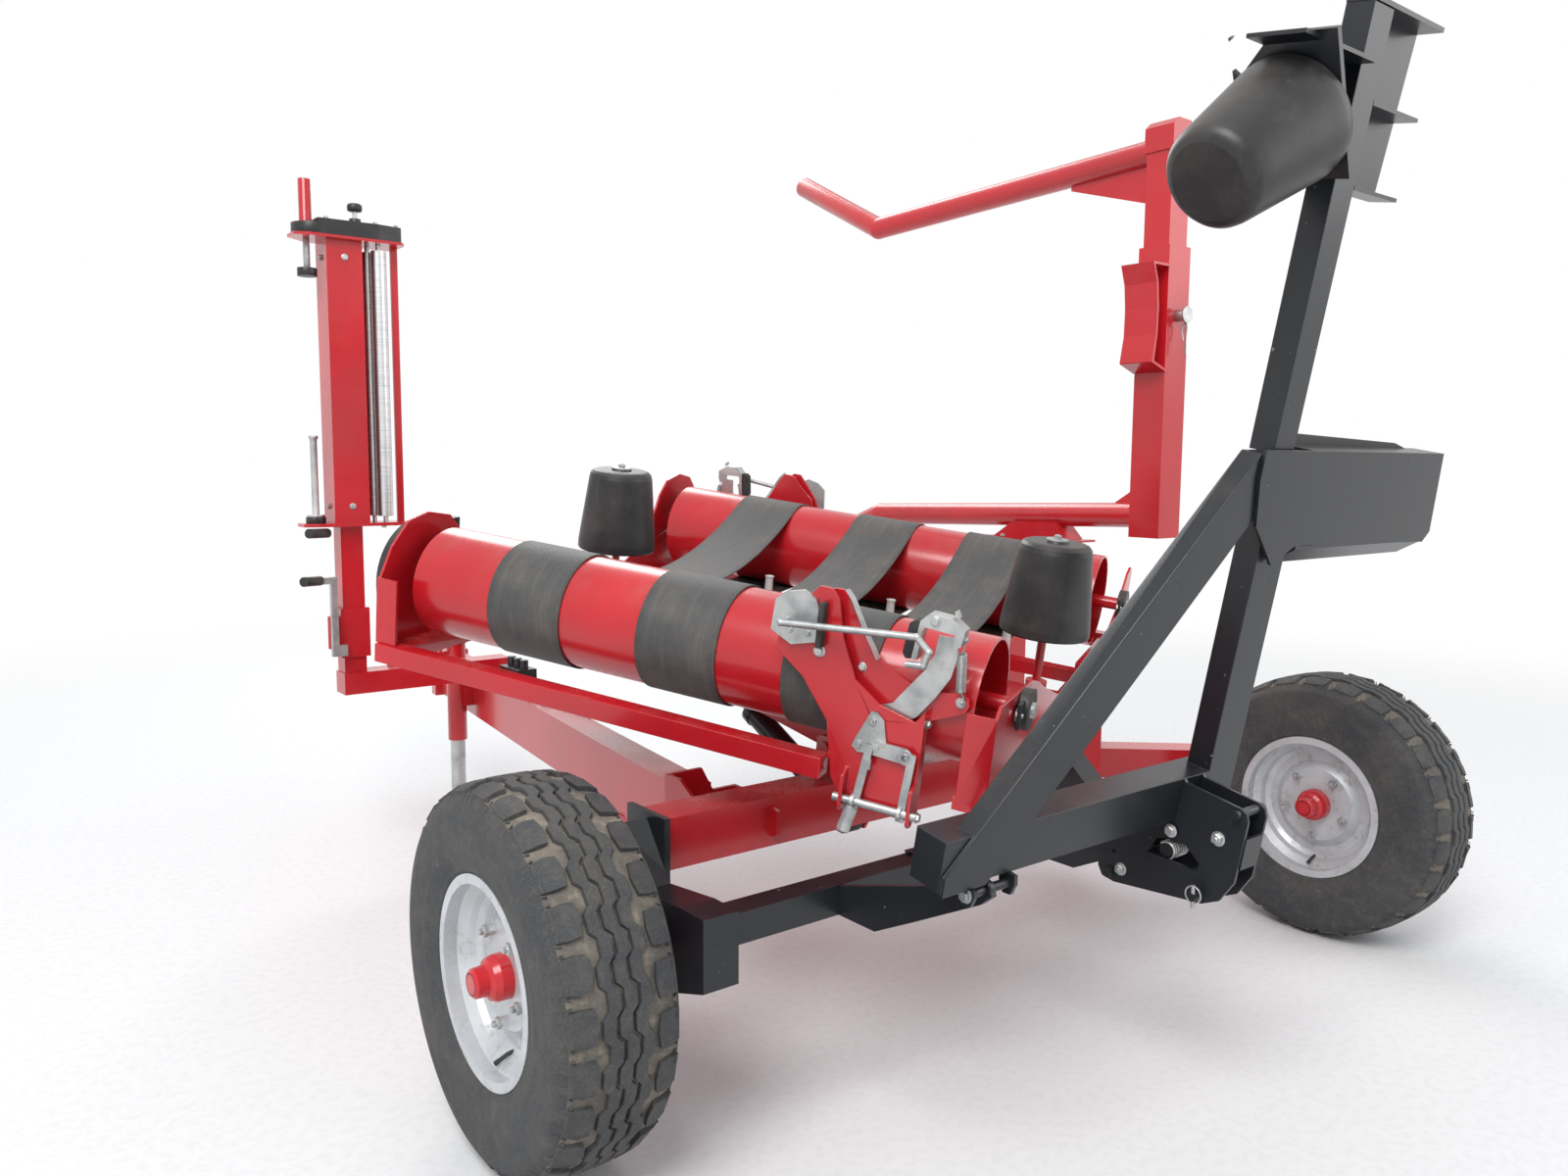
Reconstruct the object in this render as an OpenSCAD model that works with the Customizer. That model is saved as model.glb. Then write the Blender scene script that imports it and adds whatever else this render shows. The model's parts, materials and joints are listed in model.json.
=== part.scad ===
// Trailed round bale wrapper: turntable with two rollers and belts, film mast,
// loading arm and rear upender. Lengths in millimetres, +Z up, +Y towards the tow eye.

/* [Wheels] */
// Outer diameter of a tyre
tyre_d = 845; // [780:5:900]
// Width of a tyre
tyre_w = 274; // [250:5:320]
// Diameter of the rim at the bead
rim_d = 424; // [400:2:440]
// Distance between the wheel centres across the machine
track = 2650; // [2400:5:2800]
// How far the right wheel stands behind the left wheel
right_wheel_back = 387; // [300:1:450]
// Radius of the stub axles
axle_r = 30; // [25:1:35]

/* [Chassis] */
// Width of the drawbar
drawbar_w = 100; // [80:5:140]
// Height of the drawbar
drawbar_h = 180; // [140:5:200]
// Top of the drawbar above the ground
drawbar_top = 660; // [600:5:700]
// Height of the cross beam
cross_h = 125; // [100:5:140]
// Top of the cross beam above the ground
cross_top = 690; // [650:5:720]
// Width of the right wheel arm
arm_w = 110; // [90:5:130]
// Side of the rear cross tube
rear_tube = 70; // [60:5:80]
// Inner radius of the tow eye
eye_r = 26; // [20:1:30]

/* [Turntable] */
// Turn of the table at rest
table_turn = 27.7; // [0:0.1:60]
// Backward tilt of the table at rest
tilt_rest = 8.5; // [0:0.5:15]
// Diameter of a table roller
roller_d = 300; // [260:5:320]
// Length of a table roller
roller_len = 1570; // [1400:5:1600]
// Distance between the roller centres
roller_gap = 1350; // [1200:5:1400]
// Width of a belt
belt_w = 225; // [180:5:250]
// Thickness of a belt
belt_t = 5; // [4:0.5:8]
// Angle at which the slack upper run leaves a roller
belt_sag = 29; // [10:1:35]
// Height of the table centre above the ground when level
table_z = 1057; // [1040:1:1080]

/* [Loading arm] */
// Side of the outer post
post_out = 120; // [100:5:130]
// Side of the inner post
post_in = 100; // [80:5:110]
// Radius of the arm tubes
arm_tube_r = 44; // [38:1:50]
// Distance of the arm's plane from the centre line
load_x = 1105; // [1090:5:1130]
// Height of the arm's pivot
load_z = 450; // [430:5:480]

/* [Upender] */
// Backward lean of the upender
lean = 10.5; // [0:0.5:15]
// Height of the upender's post above its foot
upender_h = 1740; // [1500:10:1800]
// Radius of the hinge pins
hinge_r = 10; // [8:1:14]
// Radius of the guide cone at its wide end
head_cone_r = 130; // [110:5:140]

/* [Film unit] */
// Height of the film unit's base plate
film_z = 1292; // [1200:2:1400]
// Height of the film channel
film_h = 1000; // [900:10:1100]
// Radius of the stretch rollers
stretch_r = 27; // [22:1:32]

/* [Clearances] */
// Radial running clearance of shafts in their bores
run = 0.05; // [0.02:0.01:0.1]
// Gap between seated pieces
seat = 0.3; // [0.2:0.1:0.5]

/* [Hidden] */

red = [0.72, 0.06, 0.07];
black = [0.07, 0.08, 0.09];
zinc = [0.62, 0.63, 0.62];
tyre_col = [0.13, 0.13, 0.13];
silver = [0.66, 0.67, 0.68];
belt_col = [0.2, 0.2, 0.2];
white = [0.85, 0.86, 0.86];
plastic = [0.09, 0.09, 0.1];

mid_x = 59;
mid_y = 969.6;

wheel_r = tyre_d / 2;
left_x = -track / 2;
right_x = track / 2;
right_y = -right_wheel_back;
tilt_y = 80;
tilt_z = 757;
table_x = -167.5;
table_y = 578;
roller_r = roller_d / 2;
roller_b = roller_gap / 2;
plate_a = roller_len / 2 + 60;
plate_t = 8;
frame_top = -165;
frame_bottom = -220;
ring_top = -220;
belt_rows = [420, -33, -433];
peg_rows = [290, 96, -162, -304, -562];
cone_a = [670, -752];
drawbar_rear = [-707, 300];
drawbar_front = [-387, 2800];
knee = [860, 655];
arm_in = right_x + tyre_w / 2 + 23;
arm_end = [arm_in + 50, 62];
left_in = left_x + tyre_w / 2 + 88;
load_pivot_x = 900;
load_y = 800;
jack = [-562, 2290];
hinge_y = -755;
hinge_z = 690;
film_x = -1037;
film_y = 2100;

// Helpers
module placed() translate([-mid_x, -mid_y, 0]) children();
module box(x0, x1, y0, y1, z0, z1) translate([x0, y0, z0]) cube([x1 - x0, y1 - y0, z1 - z0]);
module rod_x(r, x0, x1) translate([x0, 0, 0]) rotate([0, 90, 0]) cylinder(r = r, h = x1 - x0);
module rod_y(r, y0, y1) translate([0, y0, 0]) rotate([-90, 0, 0]) cylinder(r = r, h = y1 - y0);
module plate_x(x0, t, pts) translate([x0, 0, 0]) rotate([90, 0, 90]) linear_extrude(t) polygon(pts);
module plate_y(y0, t, pts) translate([0, y0 + t, 0]) rotate([90, 0, 0]) linear_extrude(t) polygon(pts);
module plate_z(z0, t, pts) translate([0, 0, z0]) linear_extrude(t) polygon(pts);
module rod(p, q, r) {
  d = q - p;
  translate(p) rotate([0, acos(d.z / norm(d)), atan2(d.y, d.x)]) cylinder(r = r, h = norm(d));
}
module beam(p, q, w, z0, h) {
  d = q - p;
  translate([p.x, p.y, z0]) rotate([0, 0, atan2(d.y, d.x)]) translate([0, -w / 2, 0]) cube([norm(d), w, h]);
}
module level() translate([0, tilt_y, tilt_z]) rotate([tilt_rest, 0, 0]) translate([0, -tilt_y, -tilt_z]) children();
module on_table() placed() level() translate([table_x, table_y, table_z]) rotate([0, 0, table_turn]) children();
module on_upender() placed() translate([0, -760, 713]) rotate([lean, 0, 0]) children();

// Chassis
module drawbar() color(red) placed() {
  difference() {
    beam(drawbar_rear, drawbar_front, drawbar_w, drawbar_top - drawbar_h, drawbar_h);
    translate([-560, 1250, 570]) rotate([0, 90, -7.3]) cylinder(r = 14, h = 60, center = true);
  }
  plate_y(288, 12, [[-800, 566], [-800, 705], [-690, 705], [-655, 640], [-575, 640], [-575, 566]]);
  plate_x(-800, 10, [[120, 566], [300, 566], [300, 704], [230, 704], [120, 640]]);
  plate_x(-585, 10, [[120, 566], [300, 566], [300, 640], [120, 640]]);
  box(-800, -575, 120, 300, 556, 568);
  beam([-392, 2765], [-384, 2830], 150, 470, 200);
}

module tow_eye() color(black) placed() difference() {
  union() {
    translate([-362, 3000, 535]) cylinder(r = 58, h = 36);
    beam([-380, 2830], [-366, 2960], 60, 535, 36);
    beam([-385.4, 2830.9], [-383, 2850], 130, 490, 130);
  }
  translate([-362, 3000, 530]) cylinder(r = eye_r, h = 50);
}

module cross_beam() color(red) placed() {
  box(left_in + 103, 640, 0, 120, cross_top - cross_h, cross_top);
  plate_x(-680, 12, [[0, 590], [-28, 600], [-28, 660], [0, 670]]);
  for (x = [-262, 252])
    difference() {
      plate_x(table_x + x - 10, 20, [[20, cross_top], [50, 790], [66, 797], [94, 797], [110, 790], [120, cross_top]]);
      translate([table_x + x, tilt_y, tilt_z]) rod_x(25 + run, -20, 20);
    }
  for (x = [-287, -207])
    difference() {
      plate_x(x, 10, [[120, 570], [120, 685], [180, 560], [226, 520], [226, 480], [180, 474], [120, 570]]);
      translate([0, 200, 500]) rod_x(12 + run, -300, -180);
    }
  translate([0, 200, 500]) rod_x(12, -290, -194);
}

module lateral_beam() color(red) placed() {
  difference() {
    union() {
      beam([-712, 655], knee, arm_w, 370, 110);
      box(230, 270, 710, 765, 440, 560);
      box(850, 945, 640, 745, 380, 520);
      translate([load_pivot_x, 0, load_z]) rod_y(45, 700, 750);
    }
    translate([knee.x, knee.y, 300]) rotate([0, 0, atan2(arm_run.y, arm_run.x)]) translate([-seat, -200, 0])
      cube([400, 255.6, 180.3]);
  }
  box(540, 640, 0, 610, 470, 565 - seat);
  translate([250, 0, 500]) rod_y(15, 765, 834);
  translate([load_pivot_x, 0, load_z]) rod_y(25, 750, 868);
  translate([load_pivot_x, 0, load_z]) rod_y(38, 855, 866);
}

arm_run = (arm_end - knee) / norm(arm_end - knee);
arm_side = [-arm_run.y, arm_run.x] * arm_w / 2;
function arm_edge(x, s) = let (p = arm_end + s * arm_side) p + (x - p.x) / arm_run.x * arm_run;
module right_arm() color(red) placed() {
  plate_z(370, 110, [
    knee + arm_side, arm_edge(arm_in + 100, 1), [arm_in + 100, -455], [arm_in, -455], arm_edge(arm_in, -1),
    knee - arm_side
  ]);
  stub_axle(right_y, right_x, arm_in + 1);
}

module mast_arm() {
  box(film_x - 45, -430, 2050, 2150, drawbar_top + seat, 740);
  plate_y(2150, 10, [[-900, 700], [-880, 780], [-760, 780], [-740, 700]]);
}

module stub_axle(y, x_hub, x_root) translate([0, y, wheel_r]) {
  rod_x(axle_r, min(x_hub - 20, x_root), x_root);
  rod_x(axle_r + 12, x_hub + 68, x_root);
}

module rear_cross_tube() color(black) placed() {
  box(left_in, 442, -320, -250, 500, 500 + rear_tube);
  plate_x(left_in, 90, [[-330, 420], [-330, 580], [-240, 580], [-60, 560], [40, 690], [40, 400], [-60, 360], [-150, 360]]);
  plate_x(left_in + 88, 14.7, [[-40, 520], [-40, 705], [130, 705], [130, 520]]);
  plate_x(300, 80, [[-251, 500], [-251, 570], [-110, 690], [0, 690], [0, 565], [-130, 500]]);
  translate([-380, -285, 570]) cylinder(r = 14, h = 14);
  box(-450, -310, -325, -245, 570, 576);
  stub_axle(0, left_x, left_in + 1);
}

module hinge_arms() color(black) placed() {
  for (x = [-45, -725])
    difference() {
      union() {
        plate_x(x, 16, [[-320.3, 500], [-320.3, 568], [-560, 640], [-742, 702], [-768, 702], [-776, 680], [-745, 655], [-560, 560], [-440, 500]]);
        translate([0, hinge_y, hinge_z]) rod_x(18, x, x + 16);
      }
      translate([0, hinge_y, hinge_z]) rod_x(hinge_r + run, x - 1, x + 17);
    }
}

drawbar_run = (drawbar_front - drawbar_rear) / norm(drawbar_front - drawbar_rear);
function drawbar_left(y) =
  drawbar_rear.x - drawbar_w / 2 / drawbar_run.y + (y - drawbar_rear.y) * drawbar_run.x / drawbar_run.y;
module jack_bracket() plate_z(520, 100, [
  [0, -35], [drawbar_left(jack.y - 35) - jack.x - seat, -35], [drawbar_left(jack.y + 35) - jack.x - seat, 35], [0, 35]
]);
module jack_body() color(red) placed() translate([jack.x, jack.y, 0]) difference() {
  union() {
    translate([0, 0, 380]) cylinder(r = 38, h = 400);
    translate([0, 0, 780]) cylinder(r = 44, h = 22);
    jack_bracket();
    translate([0, 0, 740]) rod_x(9, -70, -30);
    translate([-70, 0, 740]) rotate([35, 0, 0]) translate([-6, -6, -12]) cube([12, 12, 120]);
  }
  translate([0, 0, 370]) cylinder(r = 31, h = 410);
}

module jack_leg() color(zinc) placed() translate([jack.x, jack.y, 0]) {
  cylinder(r = 95, h = 14);
  translate([0, 0, 14]) cylinder(r1 = 60, r2 = 29, h = 26);
  translate([0, 0, 30]) cylinder(r = 29, h = 410);
  translate([0, 0, 440]) cylinder(r = 31 - run, h = 20);
}

module hydraulics() color(black) placed() {
  box(-520, -440, 1800, 1960, drawbar_top + seat, 730);
  for (y = [1825, 1880, 1935])
    translate([-480, y, 730]) cylinder(r = 16, h = 34);
  box(-526, -434, 1560, 1600, drawbar_top + seat, 690);
  for (k = [[-505, 0], [-480, 14], [-455, 0]]) {
    rod([k.x, 1540, 674.5 + k.y], [k.x, 900, 674.5 + k.y], 9);
    rod([k.x, 1540, 674.5 + k.y], [k.x + 30, 1795, 674.5 + k.y], 9);
    translate([k.x, 1540, 674.5 + k.y]) sphere(r = 9.5);
  }
}

// Wheels
module wheel_spot(x, y) placed() translate([x, y, wheel_r]) rotate([0, 90, 0]) children();

bead = rim_d / 2;
module tyre() rotate_extrude($fn = 60) polygon([
  [bead + seat, -110], [bead + 14, -110], [bead + 28, -122], [bead + 78, 5 - tyre_w / 2],
  [wheel_r - 77, -tyre_w / 2], [wheel_r - 42, 3 - tyre_w / 2], [wheel_r - 18, 17 - tyre_w / 2],
  [wheel_r - 6, 37 - tyre_w / 2], [wheel_r - 1, -60], [wheel_r, 0], [wheel_r - 1, 60],
  [wheel_r - 6, tyre_w / 2 - 37], [wheel_r - 18, tyre_w / 2 - 17], [wheel_r - 42, tyre_w / 2 - 3],
  [wheel_r - 77, tyre_w / 2], [bead + 78, tyre_w / 2 - 5], [bead + 28, 122], [bead + 14, 110],
  [bead + seat, 110], [bead + seat, 90], [bead + 10, 70], [bead + 10, -70], [bead + seat, -90]
]);
module tyre_left() color(tyre_col) wheel_spot(left_x, 0) tyre();
module tyre_right() color(tyre_col) wheel_spot(right_x, right_y) tyre();

module rim() rotate_extrude($fn = 64) polygon([
  [50 + seat, -64], [118, -64], [142, -44], [bead - 46, -44], [bead - 32, -54], [bead - 24, -68],
  [bead - 6, -88], [bead - 6, -120], [bead + 16, -120], [bead + 16, -112.3], [bead, -112.3], [bead, -90],
  [bead - 18, -66], [bead - 18, 62], [bead, 86], [bead, 112.3], [bead + 16, 112.3], [bead + 16, 120],
  [bead - 6, 120], [bead - 6, 88], [bead - 24, 64], [bead - 24, -46], [bead - 44, -36], [140, -36],
  [116, -56], [50 + seat, -56]
]);
module rim_bolted() {
  rim();
  for (k = [0:4])
    rotate([0, 0, 72 * k]) translate([102.5, 0, -80]) cylinder(r = 13, h = 16.1, $fn = 6);
}
module rim_left() color(silver) wheel_spot(left_x, 0) rim_bolted();
module rim_right() color(silver) wheel_spot(right_x, right_y) rim_bolted();

module hub() difference() {
  rotate_extrude() polygon([
    [0, -142], [26, -142], [32, -136], [34, -112], [44, -104], [50, -90], [50, -55.7], [88, -55.7], [92, -46],
    [70, -36], [58, -20], [52, 50], [44, 60], [0, 60]
  ]);
  translate([0, 0, -25]) cylinder(r = axle_r + run, h = 100);
}
module hub_left() color(red) wheel_spot(left_x, 0) hub();
module hub_right() color(red) wheel_spot(right_x, right_y) hub();

// Tilting frame
module tilt_frame() color(red) placed() level() {
  for (x = [-180, 120])
    box(table_x + x, table_x + x + 60, 40, 1000, 717, 785);
  difference() {
    box(table_x - 200, table_x + 200, 380, 780, 785, 797);
    translate([table_x, table_y, 700]) cylinder(r = 30, h = 100);
  }
  translate([table_x, table_y, 797]) difference() {
    cylinder(r = 190, h = 16);
    translate([0, 0, -1]) cylinder(r = 130, h = 20);
  }
  translate([table_x, table_y, 797]) difference() {
    cylinder(r = 60, h = 34);
    translate([0, 0, -1]) cylinder(r = 36, h = 40);
  }
  box(table_x - 180, table_x + 180, 950, 1000, 717, 785);
  translate([0, tilt_y, tilt_z]) {
    difference() {
      rod_x(38, table_x - 245, table_x + 235);
      translate([table_x, 0, 0]) rod_x(60, -120, 120);
    }
    rod_x(25, table_x - 280, table_x - 120);
    rod_x(25, table_x + 120, table_x + 270);
  }
  for (x = [-287, -207])
    plate_x(x, 10, [[951, 717], [951, 785], [880, 770], [868, 740], [868, 716], [890, 700], [920, 700]]);
  translate([0, 900, 730]) {
    rod_x(14, -290, -268);
    rod_x(14, -216, -194);
  }
}

module slew_motor() color(black) placed() level() translate([table_x + 66, table_y + 110, 0]) {
  translate([0, 0, 690]) cylinder(r = 45, h = 94.7);
  translate([-52, -52, 770]) cube([104, 104, 14.7]);
}

module eye_x(r_in, r_out, x0, x1) difference() {
  rod_x(r_out, x0, x1);
  rod_x(r_in, x0 - 1, x1 + 1);
}

module on_tilt_cylinder() placed() translate([-242, 200, 500]) rotate([26.83, 0, 0]) children();
module tilt_barrel() color(black) on_tilt_cylinder() {
  difference() {
    union() {
      rod_y(35, 36, 500);
      rod_x(32, -22, 22);
    }
    rod_y(27, 60, 501);
    rod_x(12 + run, -30, 30);
  }
  difference() {
    rod_y(39, 500, 530);
    rod_y(20.5, 499, 531);
  }
}

module tilt_rod() color(silver) on_tilt_cylinder() difference() {
  union() {
    rod_y(20, 370, 752);
    rod_y(26.4, 370, 400);
    translate([0, 778.8, 0]) rod_x(36, -21, 21);
  }
  translate([0, 778.8, 0]) rod_x(24, -30, 30);
}

// Turntable
module table_frame() color(red) on_table() {
  box(-90, 90, -plate_a + 0.3, plate_a - 0.3, frame_bottom, frame_top);
  translate([0, 0, ring_top - 22]) difference() {
    cylinder(r = 210, h = 22);
    translate([0, 0, -1]) cylinder(r = 60 + run, h = 24);
  }
  for (b = [-425, 375])
    box(b, b + 50, -plate_a + 0.3, plate_a - 0.3, -215, -175);
  for (a = [-plate_a + 0.3, 180, -240, plate_a - 50.3])
    box(-425, 425, a, a + 50, frame_bottom, -175);
  for (a = cone_a) {
    translate([0, a, -165]) cylinder(r = 12, h = 375);
    translate([0, a, -165]) cylinder(r = 30, h = 45);
  }
}

module outer_rail() color(red) on_table() {
  box(-900, -850, -470, plate_a - 0.3, -200, -150);
  box(-850, -425.3, plate_a - 60, plate_a - 0.3, -200, -160);
  box(-850, -425.3, -plate_a + 0.3, -plate_a + 60, -200, -160);
  box(425.3, 850, plate_a - 60, plate_a - 0.3, -200, -160);
  box(425.3, 850, -plate_a + 0.3, -plate_a + 60, -200, -160);
  box(850, 900, -plate_a + 0.3, 470, -200, -150);
}

module belt_pegs() color(white) on_table()
  for (a = peg_rows)
    for (b = [-400, 400])
      translate([b, a, -175 + seat]) cylinder(r1 = 16, r2 = 13, h = 105);

module front_plate() color(red) on_table() {
  difference() {
    plate_y(plate_a, plate_t, [
      [-880, -185], [-880, 30], [-840, 110], [-780, 172], [-700, 190], [-610, 172], [-560, 120], [-520, 40],
      [-440, -60], [-330, -110], [330, -110], [440, -60], [520, 40], [560, 120], [610, 172], [700, 190],
      [780, 172], [840, 110], [880, 30], [880, -185], [600, -222], [-600, -222]
    ]);
    for (b = [-roller_b, roller_b])
      translate([b, 0, 0]) rod_y(26, plate_a - 10, plate_a + 20);
  }
  box(-888, -880, plate_a - 60, plate_a + plate_t, -150 + seat, 30);
}

module rear_plate() color(red) on_table() {
  difference() {
    plate_y(-plate_a - plate_t, plate_t, [
      [-885, -190], [-885, 30], [-860, 52], [-570, 40], [-500, 20], [-400, -20], [-200, -90], [-20, -125],
      [70, -132], [250, -124], [420, -115], [540, -80], [690, -20], [800, 80], [850, 98], [884, 86],
      [890, 50], [880, -60], [800, -170], [640, -215], [-500, -215], [-640, -195]
    ]);
    for (b = [-roller_b, roller_b])
      translate([b, 0, 0]) rod_y(26, -plate_a - 20, -plate_a + 10);
  }
  box(-893, -885, -plate_a - plate_t, -785, -190, 30);
  box(-893, -880, -785, -780, -190, -160);
}

module table_bearing_row()
  for (b = [-roller_b, roller_b])
    for (s = [-1, 1])
      translate([b, s * (plate_a + plate_t + 13 + seat), 0]) difference() {
        union() {
          rod_y(48, -13, 13);
          box(-75, 75, -4, 4, -30, 30);
          rod_y(25, -13, 13);
        }
        rod_y(20 + run, -20, 20);
      }

module chain_cover() color(plastic) on_table() {
  table_bearing_row();
  difference() {
    union() {
      translate([-roller_b, 0, 0]) rod_y(166, plate_a + plate_t + seat, 900);
      box(-roller_b, -120, plate_a + plate_t + seat, 900, -166, -40);
      box(-roller_b - 40, -560, plate_a + plate_t + seat, 900, 60, 158);
    }
    translate([-roller_b, 0, 0]) rod_y(154, plate_a, 892);
    box(-roller_b, -132, plate_a, 892, -154, -52);
  }
}

function arc(cx, r, a0, a1, n) =
  let (step = (a1 - a0) / n, q = r / cos(step / 2))
  [for (k = [0:n]) [cx + q * cos(a0 + step * k), q * sin(a0 + step * k)]];
belt_r = roller_r + seat;
function slack(r) =
  let (s = roller_b - r * sin(belt_sag), c = r * cos(belt_sag), d = s * tan(belt_sag) / 2)
  [for (k = [1:11]) let (b = s - 2 * s * k / 12) [b, c - d + d * b * b / s / s]];
function loop(r) = concat(arc(-roller_b, r, 90 - belt_sag, 270, 24), arc(roller_b, r, 270, 450 + belt_sag, 24), slack(r));
module belts() color(belt_col) on_table()
  for (a = belt_rows)
    translate([0, a + belt_w / 2, 0]) rotate([90, 0, 0]) linear_extrude(belt_w) difference() {
      polygon(loop(belt_r + belt_t));
      polygon(loop(belt_r));
    }

module table_roller() {
  difference() {
    rod_y(roller_r, -roller_len / 2, roller_len / 2);
    for (s = [-1, 1])
      translate([0, s * roller_len / 2, 0]) rod_y(roller_r - 6, -70, 70);
  }
  rod_y(20, -plate_a - 34, plate_a + 34);
}
module roller_near() color(red) on_table() translate([-roller_b, 0, 0]) table_roller();
module roller_far() color(red) on_table() translate([roller_b, 0, 0]) table_roller();

module cone(r, h) difference() {
  rotate_extrude() polygon([
    [0, 0], [r - 4, 0], [r, 5], [r, 24], [0.955 * r, h * 0.3], [0.81 * r, h - 24], [0.78 * r, h - 11],
    [0.72 * r, h - 3], [0.65 * r, h], [34, h], [32, h + 4], [0, h + 4]
  ]);
  translate([0, 0, -1]) cylinder(r = 12 + run, h = 192);
}
module cone_front() color(plastic) on_table() translate([0, cone_a[0], 20]) cone(125, 260);
module cone_rear() color(plastic) on_table() translate([0, cone_a[1], 20]) cone(125, 260);

// Film cutters: the rear one and its twin at the opposite corner
cutter_b = -868;
cutter_in = cutter_b + 26;
jaw_a = -575;
jaw_c = -41;
jaw_pin_r = 8;
shaft_c = -236;
module both_cutters() {
  children();
  rotate([0, 0, 180]) children();
}

module cutter_frame() {
  difference() {
    plate_x(cutter_b, 8, [
      [-325, 110], [-318, 74], [-392, 20], [-462, -70], [-486, -198], [-520, -256], [-690, -256],
      [-690, 4], [-668, -26], [-583, -4], [-520, 40], [-480, 130], [-462, 215], [-440, 236],
      [-412, 236], [-380, 200], [-340, 150]
    ]);
    translate([0, jaw_a, jaw_c]) rod_x(jaw_pin_r + seat, cutter_b - 1, cutter_b + 9);
  }
  plate_x(cutter_in, 8, [
    [-407, 207], [-420, 226], [-442, 232], [-468, 232], [-480, 216], [-518, 148], [-553, 94], [-625, 58],
    [-655, 45], [-706, 45], [-760, 53], [-774, 44], [-778, 27], [-771, 11], [-690, -26], [-690, -256],
    [-526, -256], [-486, -190], [-462, -70], [-392, 20], [-330, 80], [-345, 150]
  ]);
  box(cutter_b, cutter_in + 8, -690, -682, -256, -14);
  box(cutter_b + 8, cutter_in, -486, -470, -160, -80);
  for (a = [-528, -690])
    difference() {
      plate_y(a, 8, [
        [cutter_b + 8, -164], [cutter_b, -164], [cutter_b - 26, -178], [cutter_b - 30, -252],
        [cutter_b - 20, -264], [cutter_b, -266], [cutter_b + 8, -256]
      ]);
      translate([cutter_b - 14, 0, shaft_c]) rod_y(10 + seat, a - 1, a + 9);
    }
}
module cutter_frames() color(red) on_table() both_cutters() cutter_frame();

module cutter_fitting() {
  plate_x(cutter_b - 7, 7 - seat, [[-569, -20], [-584, -22], [-600, -36], [-613, -96], [-602, -112], [-546, -122], [-532, -110], [-534, -98]]);
  plate_x(cutter_b - 13, 7, [[-585, -84], [-664, -86], [-678, -104], [-664, -122], [-585, -118]]);
  translate([0, jaw_a, jaw_c]) rod_x(jaw_pin_r, cutter_b - 12, cutter_in - seat);
  plate_x(cutter_b - 18, 8, [[-568, -96], [-586, -98], [-564, -258], [-546, -258]]);
  plate_x(cutter_b - 18, 8, [[-668, -92], [-686, -96], [-674, -256], [-656, -256]]);
  translate([cutter_b - 14, 0, shaft_c]) rod_y(10, -702, -504);
  rod([cutter_b - 15, -553, -248], [cutter_b - 30, -541, -306], 12);
}
module cutter_rod() {
  rod([cutter_b - 45, -345, 147], [cutter_b - 45, -662, 177], 8);
  translate([cutter_b - 45, -662, 177]) sphere(r = 9);
  rod([cutter_b - 45, -662, 177], [cutter_b - 45, -692, 150], 8);
  translate([cutter_b - 45, -692, 150]) sphere(r = 9);
  rod([cutter_b - 45, -692, 150], [cutter_b - 45, -684, 118], 8);
  translate([cutter_b - 45, -684, 118]) sphere(r = 9);
  rod([cutter_b - 45, -684, 118], [cutter_b - 45, -645, 114], 8);
  translate([cutter_b - 45, -345, 147]) sphere(r = 9);
  translate([0, -345, 147]) rod_x(7, cutter_b - 45, cutter_b - 2);
  plate_x(cutter_b - 10, 10 - seat, [[-306, 118], [-312, 190], [-340, 212], [-380, 222], [-410, 206], [-430, 160], [-424, 110], [-360, 92]]);
}
module cutter_fittings() color(zinc) on_table() both_cutters() {
  cutter_fitting();
  cutter_rod();
}

module cutter_jaw() difference() {
  union() {
    plate_x(cutter_b + 13, 8, [
      [-556, -20], [-608, 3], [-640, 48], [-671, 91], [-689, 131], [-693, 175], [-736, 175], [-740, 133],
      [-731, 86], [-702, 34], [-667, -16], [-605, -66], [-575, -74], [-550, -62], [-543, -41]
    ]);
    plate_x(cutter_b - 16, 37, [
      [-646, 119], [-656, 206], [-676, 227], [-725, 224], [-757, 203], [-751, 166], [-738, 160],
      [-734, 190], [-670, 194], [-664, 186], [-658, 119]
    ]);
  }
  translate([0, jaw_a, jaw_c]) rod_x(jaw_pin_r + run, cutter_b, cutter_in);
}
module cutter_jaw_rear() color(zinc) on_table() cutter_jaw();
module cutter_jaw_front() color(zinc) on_table() rotate([0, 0, 180]) cutter_jaw();

// Loading arm
load_in = load_x - 45;
load_out = load_x + 45;
module loader_lever() color(red) placed() difference() {
  union() {
    plate_y(load_y - 45, 90, [
      [load_pivot_x - 20, 410], [1000, 430], [load_out - 10, 560], [load_out, 640], [load_out, 1235],
      [load_in, 1235], [load_in, 660], [990, 520], [load_pivot_x - 20, 490]
    ]);
    translate([load_pivot_x, 0, load_z]) rod_y(44, load_y - 45, load_y + 45);
    for (y = [load_y - 45, load_y + 30])
      plate_y(y, 15, [[866, 480], [776, 535], [772, 560], [790, 580], [815, 578], [930, 485]]);
    plate_y(load_y - 350, 450, [[load_x - 60, 1235], [load_x - 60, 1243], [load_x + 60, 1243], [load_x + 60, 1235]]);
  }
  translate([load_pivot_x, 0, load_z]) rod_y(25 + run, load_y - 60, load_y + 60);
  translate([800, 0, 550]) rod_y(14, load_y - 60, load_y + 60);
}

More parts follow.
